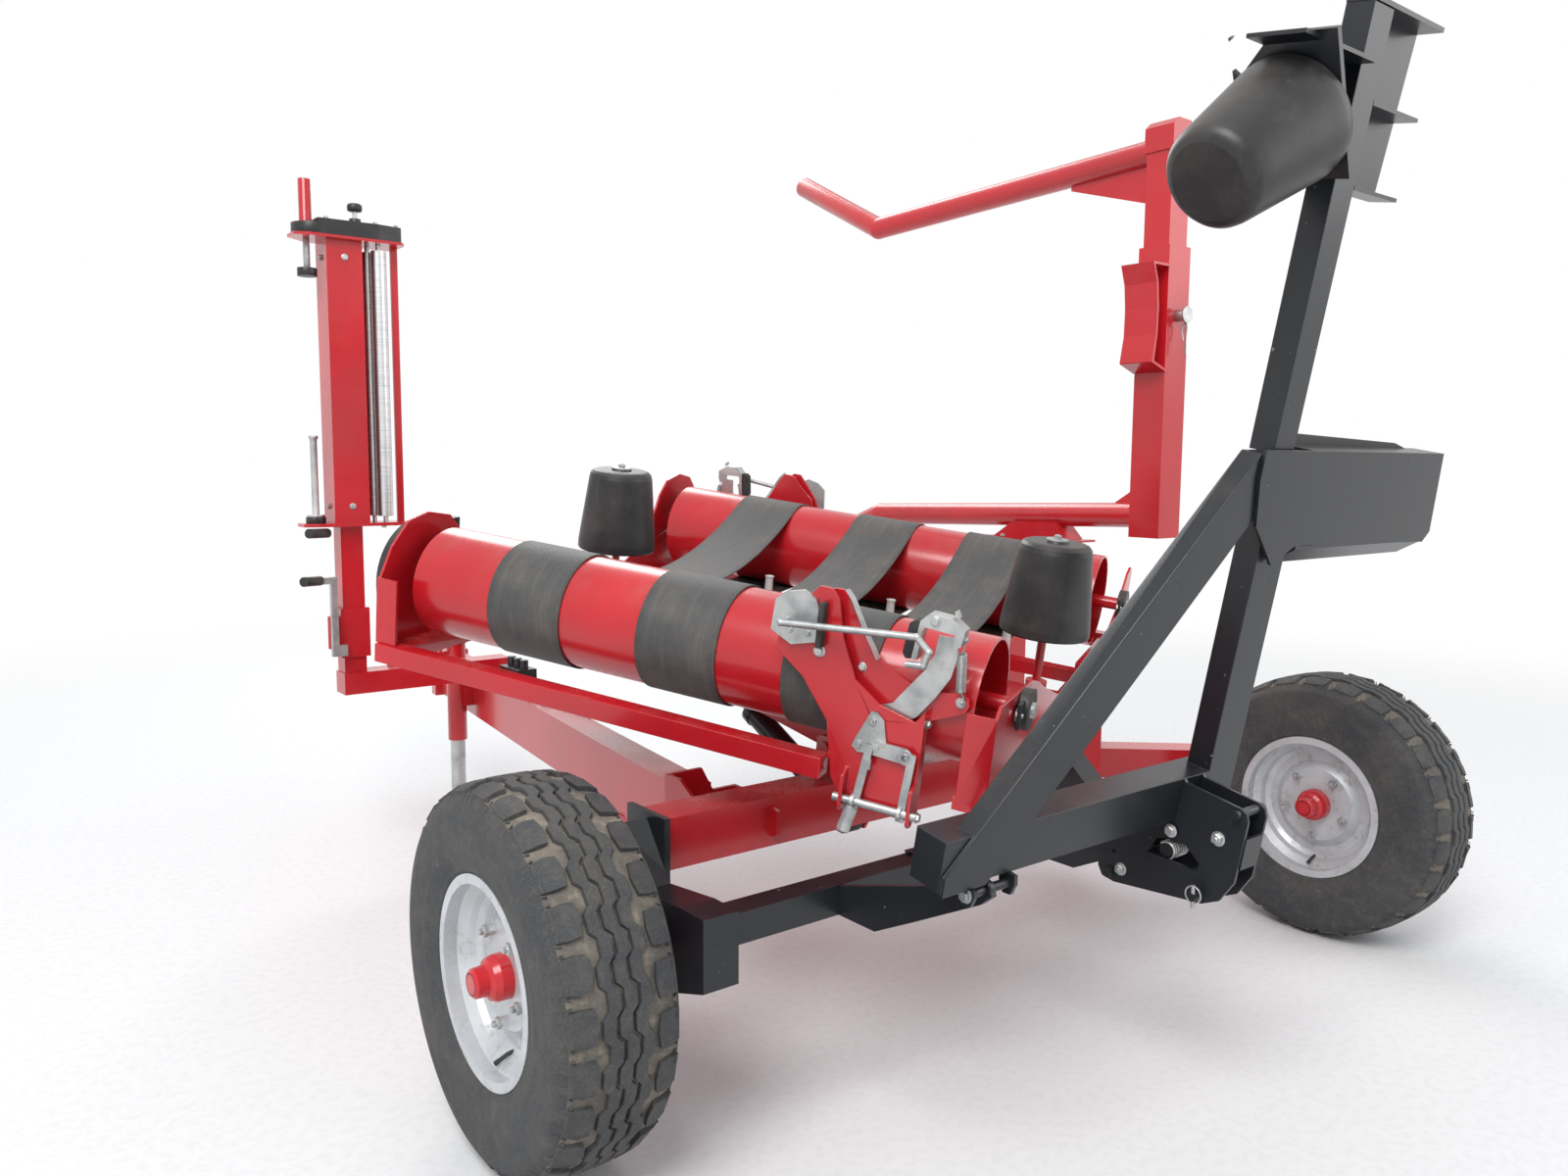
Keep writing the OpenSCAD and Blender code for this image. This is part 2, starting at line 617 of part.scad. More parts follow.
module loader_post() color(red) placed() {
  loader_fork();
  difference() {
    box(load_x - post_out / 2, load_x + post_out / 2, 100, 220, 1270, 2250);
    box(load_x - post_in / 2 - seat, load_x + post_in / 2 + seat, 110 - seat, 210 + seat, 1290, 2260);
    translate([load_x, 0, 2020]) rod_y(11 + run, 90, 230);
  }
  plate_y(96, 128, [
    [load_x - 60, 2184], [load_x - 150, 2184], [load_x - 128, 2120], [load_x - 120, 2040], [load_x - 122, 1950],
    [load_x - 140, 1860], [load_x - 128, 1857], [load_x - 114, 1950], [load_x - 112, 2040], [load_x - 120, 2120],
    [load_x - 140, 2176], [load_x - 60, 2176]
  ]);
  plate_y(96, 128, [[load_x - 60, 1830], [load_x - 138, 1858], [load_x - 134, 1866], [load_x - 60, 1840]]);
}

module loader_fork() {
  rod([load_x, 218, 1345], [load_x, 1560, 1300], arm_tube_r);
  translate([load_x, 1560, 1300]) sphere(r = arm_tube_r + 1);
  rod([load_x, 1560, 1300], [load_x, 1735, 1235], arm_tube_r);
  plate_x(load_x - 6, 12, [[218, 1370], [218, 1450], [330, 1380], [330, 1360]]);
  plate_x(load_x - 50, 100, [[500, 1243 + seat], [850, 1243 + seat], [760, 1300], [560, 1305]]);
}

module loader_top() color(red) placed() {
  loader_arm();
  difference() {
    box(load_x - post_in / 2, load_x + post_in / 2, 110, 210, 1300, 2640);
    translate([load_x, 0, 2020]) rod_y(11 + run, 90, 230);
  }
  plate_y(104, 112, [[load_x - 56, 2560], [load_x - 56, 2640], [load_x - 30, 2662], [load_x + 40, 2662], [load_x + 56, 2640], [load_x + 56, 2560]]);
}

module loader_arm() {
  rod([load_x, 208, 2575], [load_x, 1600, 2530], arm_tube_r);
  translate([load_x, 1600, 2530]) sphere(r = arm_tube_r + 1);
  rod([load_x, 1600, 2530], [load_x, 2120, 2795], arm_tube_r);
  plate_x(load_x - 6, 12, [[208, 2400], [208, 2545], [560, 2532], [560, 2505]]);
}

module loader_pin() color(zinc) placed() {
  translate([load_x, 0, 2020]) rod_y(11, 60, 240);
  translate([load_x, 0, 2020]) rod_y(20, 68, 99.7);
  translate([load_x, 0, 2020]) rod_y(28, 60, 66);
  translate([load_x - 3, 61, 1890]) cube([6, 6, 106]);
}

module on_loader_cylinder() placed() translate([250, load_y, 500]) rotate([0, -5.19, 0]) children();
module loader_barrel() color(black) on_loader_cylinder() {
  difference() {
    union() {
      rod_x(32, 38, 360);
      rod_y(30, -25, 25);
      rod_x(20, 0, 60);
    }
    rod_x(25, 60, 361);
    rod_y(15 + run, -30, 30);
  }
  difference() {
    rod_x(36, 360, 385);
    rod_x(18.5, 359, 386);
  }
}
module loader_rod() color(silver) on_loader_cylinder() difference() {
  union() {
    rod_x(18, 115, 530);
    rod_x(24.4, 115, 145);
    translate([552.3, 0, 0]) rod_y(28, -22, 22);
  }
  translate([552.3, 0, 0]) rod_y(14, -30, 30);
}

// Upender
module upender_frame() color(black) on_upender() {
  box(-857, 112, 0, 80, 0, 105);
  plate_y(-8, 50, [[-852, -8], [-852, 32], [-84.5, 848], [-4, 848], [-4, 766], [-732, -8]]);
  box(2, 112, 0, 60, 105, 848);
  box(-27, 53, 0, 60, 848, upender_h);
}

module upender_wing() color(black) on_upender() {
  plate_y(-16.3, 8, [
    [-84, 856], [744, 857], [776, 655], [748, 628], [122, 642], [36, 600], [-60, 690], [-84, 790]
  ]);
  plate_x(122, 620, [[-16.3, 640], [-8.3, 640], [44, 594], [38, 588], [-16.3, 632]]);
  box(113, 744, -8.3, 62, 849, 857);
  plate_y(52, 8, [[53.3, 857], [53.3, 940], [78, 930], [110, 895], [150, 884], [620, 870], [680, 857]]);
  box(113, 121, -8.3, 50, 660, 849);
}

module upender_head() color(black) on_upender() {
  plate_y(52, 8, [[53 + seat, 1396], [238, 1396], [262, 1748], [53 + seat, 1748]]);
  box(-27, 262, -3, 60, upender_h + seat, 1750);
  box(53 + seat, 248, 0, 52, 1560, 1568);
  box(53 + seat, 238, 0, 52, 1396, 1404);
  box(-290, -27 - seat, -30, 92, 1622, 1630);
  plate_y(26, 8, [[-27 - seat, 1622], [-214, 1622], [-71, 1404], [-27 - seat, 1404]]);
  translate([-150, 50, 1500]) rotate([0, -123.2, 0]) translate([0, 0, -12]) difference() {
    translate([-122, -110, 0]) cube([287, 225, 12]);
    translate([140, 90, 6]) rotate([0, 0, 45]) cube([60, 90, 20], center = true);
  }
}

module upender_cone() color(plastic) on_upender() translate([-150, 50, 1500]) rotate([0, -123.2, 0])
  translate([0, 0, seat]) rotate_extrude() polygon([
    [0, 0], [head_cone_r - 4, 0], [head_cone_r, 6], [head_cone_r, 26], [0.8 * head_cone_r, 246],
    [0.77 * head_cone_r, 262], [0.7 * head_cone_r, 273], [0.6 * head_cone_r, 278], [0, 278]
  ]);

module upender_latch() color(black) {
  placed() difference() {
    union() {
      for (x = [-97, -25])
        plate_x(x, 8, [
          [-779.6, 815], [-785, 808], [-918, 780], [-934, 770], [-938, 752], [-912, 610], [-878, 560], [-836, 541],
          [-600, 523], [-566, 530], [-554, 552], [-554, 640], [-681, 727.2], [-760.3, 712.6]
        ]);
      plate_x(-89, 64, [[-921, 640], [-933, 712], [-926, 714], [-913, 640]]);
      plate_x(-660, 10, [
        [-735, 717.3], [-735, 690], [-745, 668], [-765, 668], [-776, 690], [-776, 709], [-760.3, 712.6]
      ]);
      plate_x(-775, 10, [
        [-735, 709], [-735, 690], [-745, 668], [-765, 668], [-776, 690], [-776, 703], [-766.6, 703.2]
      ]);
      translate([0, -914, 765]) rod_x(11, -112, -2);
      translate([0, -588, 545]) rod_x(13, -109, -97);
      translate([0, -830, 560]) rod_x(9, -128, -97);
      translate([0, hinge_y, hinge_z]) {
        rod_x(hinge_r, -103, -5);
        rod_x(hinge_r, -785, -640);
      }
    }
    plate_x(-98, 10, [[-690, 622], [-820, 612], [-826, 630], [-790, 664], [-740, 668], [-712, 660]]);
    translate([0, -601, 599]) rod_x(8, -98, -88);
  }
  placed() {
    translate([0, -735, 636]) rod_x(14, -89, -50);
    for (k = [0:5])
      translate([0, -735, 636]) rod_x(19, -87 + 7 * k, -83 + 7 * k);
  }
}

// Film unit
module film_post() color(red) placed() {
  mast_arm();
  box(film_x - 40, film_x + 40, 2060, 2140, 735, film_z - 12 - seat);
  box(film_x - 52, film_x + 52, 2048, 2152, 800, 980);
  translate([film_x - 66, 2100, 830]) cylinder(r = 18, h = 120);
}

module film_channel() color(red) placed() translate([film_x, film_y, film_z]) {
  difference() {
    box(-63, 62, -62, 63, 0, film_h);
    box(-57, 70, -56, 57, -1, film_h + 1);
  }
  plate_z(-12, 12, [[-170, -60], [-120, -80], [200, -80], [215, -60], [215, 70], [-90, 80], [-170, 20]]);
  plate_z(film_h, 10, [[-170, -60], [-120, -85], [200, -85], [215, -60], [215, 70], [-90, 85], [-170, 20]]);
  box(183, 208, -6, 6, 0, film_h);
  translate([-115, -10, film_h + 10]) cylinder(r = 21, h = 190);
}

module film_cover() color(plastic) placed() translate([film_x, film_y, film_z]) {
  translate([0, 0, film_h + 10 + seat]) difference() {
    union() {
      plate_z(0, 55, [[-90, -70], [120, -78], [205, -60], [212, -20], [205, 50], [120, 76], [-60, 76], [-92, 40]]);
      translate([-90, 0, 0]) cylinder(r = 70, h = 40);
      translate([60, 0, 55]) cylinder(r = 20, h = 22);
    }
    translate([-115, -10, -1]) cylinder(r = 21.3, h = 100);
  }
  translate([-115, -10, seat]) cylinder(r = 34, h = 22);
  translate([-115, -10, film_h - 132]) cylinder(r = 33, h = 28);
  rod([-133.6, -97.2, -200], [-205, -152, -196], 17);
  rod([-92, -60, -34], [-175, -130, -30], 17);
}

module film_spindle() color(zinc) placed() translate([film_x - 115, film_y - 10, film_z]) {
  translate([0, 0, 22 + 2 * seat]) cylinder(r = 30, h = 8);
  translate([0, 0, 22 + 2 * seat]) cylinder(r = 12, h = 278);
  translate([0, 0, 300]) cylinder(r = 16, h = 12);
}

module film_fittings() color(zinc) placed() translate([film_x, film_y, film_z]) {
  translate([-115, -10, film_h - 104 + seat]) cylinder(r = 11, h = 103);
  box(-92, -70, -84, -62, -470, -190);
  box(-92, -40.3, -84, -62, -480, -440);
  box(-130, -80, -100, -84, -214, -190);
}

module stretch_roller() rotate_extrude() polygon([
  [0, 0.5], [9, 0.5], [9, 22], [stretch_r, 22], [stretch_r, film_h - 22], [9, film_h - 22], [9, film_h - 0.5], [0, film_h - 0.5]
]);
module stretch_roller_front() color(silver) placed() translate([film_x + 130, film_y - 30, film_z]) stretch_roller();
module stretch_roller_rear() color(silver) placed() translate([film_x + 110, film_y + 34, film_z]) stretch_roller();

// Assembly
drawbar();
tow_eye();
cross_beam();
lateral_beam();
right_arm();
rear_cross_tube();
hinge_arms();
jack_body();
jack_leg();
hydraulics();
tyre_left();
tyre_right();
rim_left();
rim_right();
hub_left();
hub_right();
tilt_frame();
slew_motor();
tilt_barrel();
tilt_rod();
table_frame();
outer_rail();
belt_pegs();
front_plate();
rear_plate();
chain_cover();
belts();
roller_near();
roller_far();
cone_front();
cone_rear();
cutter_frames();
cutter_fittings();
cutter_jaw_rear();
cutter_jaw_front();
loader_lever();
loader_post();
loader_top();
loader_pin();
loader_barrel();
loader_rod();
upender_frame();
upender_wing();
upender_head();
upender_latch();
upender_cone();
film_post();
film_channel();
film_cover();
film_fittings();
film_spindle();
stretch_roller_front();
stretch_roller_rear();
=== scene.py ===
import json
import math

import bmesh
import bpy
from bpy.props import FloatProperty, FloatVectorProperty, IntProperty, PointerProperty
from mathutils import Matrix, Vector


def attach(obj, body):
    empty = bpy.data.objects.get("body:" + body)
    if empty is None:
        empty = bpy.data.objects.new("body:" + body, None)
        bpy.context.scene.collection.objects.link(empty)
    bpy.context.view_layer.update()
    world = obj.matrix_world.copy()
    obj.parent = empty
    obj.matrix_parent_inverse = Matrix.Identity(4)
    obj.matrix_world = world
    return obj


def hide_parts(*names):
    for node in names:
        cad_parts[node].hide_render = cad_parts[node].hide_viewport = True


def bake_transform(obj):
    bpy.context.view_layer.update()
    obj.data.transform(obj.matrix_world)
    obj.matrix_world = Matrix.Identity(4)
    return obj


bl_info = {
    "name": "Bale Wrapper Looks",
    "version": (1, 0, 0),
    "blender": (4, 5, 0),
    "location": "3D View > Sidebar > Wrapper",
    "description": "Dresses a trailed round bale wrapper with paint, tread, belts and fittings",
    "category": "Object",
}

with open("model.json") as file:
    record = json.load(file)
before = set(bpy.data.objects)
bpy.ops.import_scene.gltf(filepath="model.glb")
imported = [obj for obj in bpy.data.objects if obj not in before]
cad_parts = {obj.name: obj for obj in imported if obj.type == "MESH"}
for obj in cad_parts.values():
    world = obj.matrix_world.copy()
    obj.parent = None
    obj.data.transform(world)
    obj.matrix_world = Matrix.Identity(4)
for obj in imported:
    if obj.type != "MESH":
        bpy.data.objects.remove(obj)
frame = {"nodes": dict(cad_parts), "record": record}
NODES = frame["nodes"]

# Frames of the machine, in which pieces are laid out in millimetres
CHASSIS = Matrix.Translation((-0.059, -0.9696, 0)) @ Matrix.Scale(0.001, 4)
TILT = 8.5
TABLE_TURN = 27.7
WHEEL_X = 1325
WHEEL_Z = 422.5
RIGHT_WHEEL_BACK = 387
# Rollers and belts of the table
ROLLER_X = 675.0
BELT_SAG = 29.0
BELT_IN = 150.3
BELT_ROWS = (420, -33, -433)
LOADER_X = 1105


def turn(angle, axis):
    return Matrix.Rotation(math.radians(angle), 4, axis)


def shift(x, y, z):
    return Matrix.Translation((x, y, z))


LEVEL = CHASSIS @ shift(0, 80, 757) @ turn(TILT, "X") @ shift(0, -80, -757)
TABLE = LEVEL @ shift(-167.5, 578, 1057) @ turn(TABLE_TURN, "Z")
OPPOSITE = TABLE @ turn(180, "Z")
UPENDER = CHASSIS @ shift(0, -760, 713) @ turn(10.5, "X")
HEAD = UPENDER @ shift(-150, 50, 1500) @ turn(-123.2, "Y")
LEFT_WHEEL = CHASSIS @ shift(-WHEEL_X, 0, WHEEL_Z) @ turn(90, "Y")
RIGHT_WHEEL = CHASSIS @ shift(WHEEL_X, -RIGHT_WHEEL_BACK, WHEEL_Z) @ turn(90, "Y")
FILM = CHASSIS @ shift(-1037, 2100, 1292)


def length(name, text, value, low, high):
    return FloatProperty(name=name, description=text, default=value, min=low, max=high, subtype="DISTANCE")


class WrapperSizes(bpy.types.PropertyGroup):
    tyre_radius: length("Tyre radius", "Radius over the tread", 0.4225, 0.38, 0.45)
    tread_depth: length("Tread depth", "Depth of the tread's grooves", 0.011, 0.004, 0.015)
    lugs: IntProperty(
        name="Shoulder lugs", description="Lugs round each shoulder of a tyre", default=26, min=20, max=34)
    belt_thickness: length("Belt thickness", "Thickness of a table belt", 0.005, 0.003, 0.008)
    belt_width: length("Belt width", "Width of a table belt", 0.225, 0.18, 0.25)
    bolt: length("Bolt size", "Radius of a common bolt head", 0.012, 0.008, 0.016)
    edge: length("Edge radius", "Rounding of cut and folded edges", 0.003, 0.001, 0.006)


def colour(name, text, value):
    return FloatVectorProperty(
        name=name, description=text, default=value, size=3, min=0, max=1, subtype="COLOR")


class WrapperColours(bpy.types.PropertyGroup):
    red: colour("Red paint", "Gloss paint of the frame", (0.56, 0.012, 0.02))
    black: colour("Black paint", "Satin paint of the upender", (0.012, 0.014, 0.018))
    zinc: colour("Zinc", "Plated handles and pins", (0.55, 0.56, 0.55))
    silver: colour("Rim paint", "Silver paint of the rims", (0.6, 0.62, 0.64))
    rubber: colour("Rubber", "Tyres and hoses", (0.035, 0.038, 0.042))
    belt: colour("Belt rubber", "Table belts", (0.055, 0.056, 0.058))
    plastic: colour("Black plastic", "Moulded cones and covers", (0.014, 0.014, 0.016))
    white: colour("White plastic", "Moulded pegs of the table", (0.72, 0.73, 0.72))
    dust: colour("Dust", "Dried dust on the machine", (0.33, 0.28, 0.22))


class Value:
    """An output of a material node. Arithmetic on it adds Math nodes."""

    def __init__(self, finish, socket):
        self.finish = finish
        self.socket = socket

    def math(self, operation, *terms):
        return self.finish.node("ShaderNodeMath", {"operation": operation}, dict(enumerate(terms)))

    def __add__(self, other):
        return self.math("ADD", self, other)

    def __radd__(self, other):
        return self.math("ADD", other, self)

    def __sub__(self, other):
        return self.math("SUBTRACT", self, other)

    def __rsub__(self, other):
        return self.math("SUBTRACT", other, self)

    def __mul__(self, other):
        return self.math("MULTIPLY", self, other)

    def __rmul__(self, other):
        return self.math("MULTIPLY", other, self)

    def __truediv__(self, other):
        return self.math("DIVIDE", self, other)

    def __gt__(self, other):
        return self.math("GREATER_THAN", self, other)

    def __lt__(self, other):
        return self.math("LESS_THAN", self, other)

    def __pow__(self, other):
        return self.math("POWER", self, other)

    def band(self, low, high):
        """0 below low, 1 above high, and a smooth step between them."""
        settings = {"interpolation_type": "SMOOTHSTEP"}
        inputs = {"Value": self, "From Min": low, "From Max": high}
        return self.finish.node("ShaderNodeMapRange", settings, inputs)


class Finish:
    """A procedural material on one Principled shader."""

    def __init__(self, name, **constants):
        self.material = bpy.data.materials.new(name)
        self.material.use_nodes = True
        self.tree = self.material.node_tree
        self.shader = self.tree.nodes["Principled BSDF"]
        for socket, value in constants.items():
            self.shader.inputs[socket.replace("_", " ")].default_value = value
        self.place = self.node("ShaderNodeTexCoord", out="Object")

    def node(self, kind, settings=None, inputs=None, out=0):
        node = self.tree.nodes.new(kind)
        for name, value in (settings or {}).items():
            setattr(node, name, value)
        for name, value in (inputs or {}).items():
            if isinstance(value, Value):
                self.tree.links.new(value.socket, node.inputs[name])
            else:
                node.inputs[name].default_value = value
        return Value(self, node.outputs[out])

    def noise(self, scale, detail=3.0, rough=0.55, stretch=(1, 1, 1), spot=None):
        at = self.node("ShaderNodeMapping", None, {"Vector": spot or self.place, "Scale": stretch})
        inputs = {"Vector": at, "Scale": scale, "Detail": detail, "Roughness": rough}
        return self.node("ShaderNodeTexNoise", None, inputs)

    def mix(self, a, b, factor):
        a, b = (tuple(c) + (1,) if not isinstance(c, Value) else c for c in (a, b))
        return self.node("ShaderNodeMix", {"data_type": "RGBA"}, {0: factor, 6: a, 7: b}, out=2)

    def part(self, axis, source=None):
        return self.node("ShaderNodeSeparateXYZ", None, {0: source or self.place}, out=axis)

    def upward(self):
        """1 on surfaces that face up, 0 on walls."""
        normal = self.node("ShaderNodeNewGeometry", out="Normal")
        return self.part("Z", normal).band(0.35, 0.95)

    def done(self, base, roughness=None, bump=None, strength=0.3, distance=0.001, metal=None):
        for socket, value in (("Base Color", base), ("Roughness", roughness), ("Metallic", metal)):
            if isinstance(value, Value):
                self.tree.links.new(value.socket, self.shader.inputs[socket])
            elif value is not None:
                self.shader.inputs[socket].default_value = value
        if bump is not None:
            inputs = {"Height": bump, "Strength": strength, "Distance": distance}
            relief = self.node("ShaderNodeBump", None, inputs)
            self.tree.links.new(relief.socket, self.shader.inputs["Normal"])
        return self.material


FINISHES = {}


def paint_finish(name, paint, dust, chip, gloss, dusty, coat):
    """Sprayed paint: broad tone changes, dust on what faces up, chips that show primer."""
    f = Finish(name, Coat_Weight=coat, Coat_Roughness=0.12, Specular_IOR_Level=0.45)
    broad = f.noise(1.7, 4)
    cloud = f.noise(7.0, 6, 0.65)
    grain = f.noise(160.0, 3)
    scuff = f.noise(24.0, 7, 0.75)
    settle = f.upward() * 0.85 + 0.15
    veil = cloud.band(0.42, 0.78) * settle * dusty
    speck = f.noise(75.0, 2, 0.4).band(0.735, 0.76) * scuff.band(0.5, 0.62)
    tone = f.mix(paint, [c * 0.8 for c in paint], broad.band(0.35, 0.7))
    tone = f.mix(tone, dust, veil + grain.band(0.55, 0.8) * veil * 0.4)
    tone = f.mix(tone, chip, speck * 0.85)
    roughness = gloss + veil * 0.45 + speck * 0.3 + (grain - 0.5) * 0.08
    relief = f.noise(420.0, 2) * 0.25 + f.noise(11.0, 2) * 0.5 - speck * 0.6
    return f.done(tone, roughness, relief, 0.1, 0.0008)


def zinc_finish(c):
    f = Finish("zinc_plate", Specular_IOR_Level=0.5)
    cloud = f.noise(14.0, 5, 0.6)
    spangle = f.node("ShaderNodeTexVoronoi", None, {"Vector": f.place, "Scale": 160.0}, out="Distance")
    brown = f.noise(31.0, 5, 0.7).band(0.62, 0.72)
    tone = f.mix(c.zinc, (0.34, 0.35, 0.36), cloud.band(0.35, 0.7))
    tone = f.mix(tone, c.dust, brown * 0.5)
    roughness = 0.32 + cloud * 0.2 + brown * 0.2
    return f.done(tone, roughness, spangle * 0.4 + cloud, 0.12, 0.0006, metal=0.85 - brown * 0.5)


def chrome_finish():
    f = Finish("rod_chrome", Metallic=1.0)
    smear = f.noise(40.0, 4, 0.6, (0.2, 1, 1))
    return f.done(f.mix((0.8, 0.8, 0.8), (0.55, 0.54, 0.52), smear.band(0.5, 0.75)), 0.1 + smear * 0.12)


def rim_finish(c):
    f = Finish("rim_paint", Coat_Weight=0.15, Coat_Roughness=0.3)
    cloud = f.noise(9.0, 6, 0.65)
    splash = f.noise(48.0, 4, 0.6).band(0.5, 0.72) * cloud.band(0.4, 0.62)
    tone = f.mix(c.silver, [v * 0.82 for v in c.silver], cloud.band(0.35, 0.7))
    tone = f.mix(tone, c.dust, splash * 0.6)
    return f.done(tone, 0.34 + splash * 0.4 + cloud * 0.08, f.noise(300.0, 2), 0.08, 0.0006, metal=0.35)


def rubber_finish(c, name, dusty, base=None):
    """Rubber: dull, with dry dust in its low places and fine cracks."""
    f = Finish(name, Specular_IOR_Level=0.35)
    cloud = f.noise(6.0, 6, 0.7)
    fine = f.noise(210.0, 4, 0.7)
    patch = f.noise(33.0, 5, 0.7)
    veil = (cloud.band(0.3, 0.75) * 0.6 + patch.band(0.45, 0.8) * 0.6) * dusty
    base = base or c.rubber
    tone = f.mix(base, [v * 1.7 + 0.008 for v in base], fine.band(0.4, 0.75))
    tone = f.mix(tone, c.dust, veil)
    return f.done(tone, 0.62 + veil * 0.3 + fine * 0.12, fine + patch * 0.6, 0.35, 0.0012)


def belt_finish(c):
    """Belt rubber with a woven impression, rubbed pale where bales turn on it."""
    f = Finish("belt_rubber", Specular_IOR_Level=0.4)
    uv = f.node("ShaderNodeTexCoord", out="UV")
    flip = f.node("ShaderNodeMapping", None, {"Vector": uv, "Scale": (-1, 1, 1)})
    weave_a, weave_b = (
        f.node("ShaderNodeTexWave", {"bands_direction": "DIAGONAL"}, {"Vector": v, "Scale": 70.0, "Distortion": 0.4})
        for v in (uv, flip))
    offset = f.part("Y", uv) - 0.1125
    edge = offset.math("ABSOLUTE", offset).band(0.085, 0.112)
    cloud = f.noise(5.0, 6, 0.7, spot=uv)
    streak = f.noise(60.0, 4, 0.6, (0.08, 1, 1), spot=uv)
    fine = f.noise(260.0, 3)
    veil = cloud.band(0.35, 0.75) * 0.35 + streak.band(0.45, 0.75) * 0.25
    tone = f.mix(c.belt, [v * 0.55 for v in c.belt], edge * 0.7)
    tone = f.mix(tone, c.dust, veil * 0.55 + fine.band(0.5, 0.8) * 0.08)
    return f.done(tone, 0.55 + veil * 0.3, weave_a * weave_b + fine * 0.3, 0.35, 0.0012)


def plastic_finish(c, name, tint, dusty):
    """Moulded plastic with a fine spark-eroded grain and pale scuffs."""
    f = Finish(name, Specular_IOR_Level=0.5)
    grain = f.noise(340.0, 3, 0.6)
    cloud = f.noise(8.0, 6, 0.65)
    scuff = f.noise(30.0, 6, 0.75, (1, 1, 0.25)).band(0.56, 0.68)
    veil = (cloud.band(0.4, 0.75) * 0.5 + f.upward() * 0.35) * dusty
    tone = f.mix(tint, [v * 1.3 + 0.012 for v in tint], scuff)
    tone = f.mix(tone, c.dust, veil)
    return f.done(tone, 0.36 + grain * 0.12 + veil * 0.35 + scuff * 0.1, grain, 0.16, 0.0008)


def aluminium_finish():
    f = Finish("roller_aluminium", Metallic=1.0)
    rings = f.noise(60.0, 4, 0.6, (0.15, 0.15, 6))
    tone = f.mix((0.72, 0.73, 0.74), (0.52, 0.53, 0.54), rings.band(0.4, 0.7))
    return f.done(tone, 0.26 + rings * 0.18, rings, 0.05, 0.0005)


def make_finishes(c):
    FINISHES["red_paint"] = paint_finish("red_paint", c.red, c.dust, (0.13, 0.05, 0.04), 0.24, 0.22, 0.35)
    FINISHES["black_paint"] = paint_finish("black_paint", c.black, c.dust, (0.4, 0.4, 0.4), 0.33, 0.1, 0.1)
    FINISHES["zinc"] = zinc_finish(c)
    FINISHES["rod_chrome"] = chrome_finish()
    FINISHES["rim_silver"] = rim_finish(c)
    FINISHES["tyre_rubber"] = rubber_finish(c, "tyre_tread", 0.22)
    FINISHES["tyre_groove"] = rubber_finish(c, "tyre_groove", 0.95, (0.07, 0.066, 0.06))
    FINISHES["hose_rubber"] = rubber_finish(c, "hose_rubber", 0.15, (0.02, 0.02, 0.022))
    FINISHES["belt_rubber"] = belt_finish(c)
    FINISHES["white_plastic"] = plastic_finish(c, "white_plastic", c.white, 0.5)
    FINISHES["black_plastic"] = plastic_finish(c, "black_plastic", c.plastic, 0.18)
    FINISHES["aluminium"] = aluminium_finish()


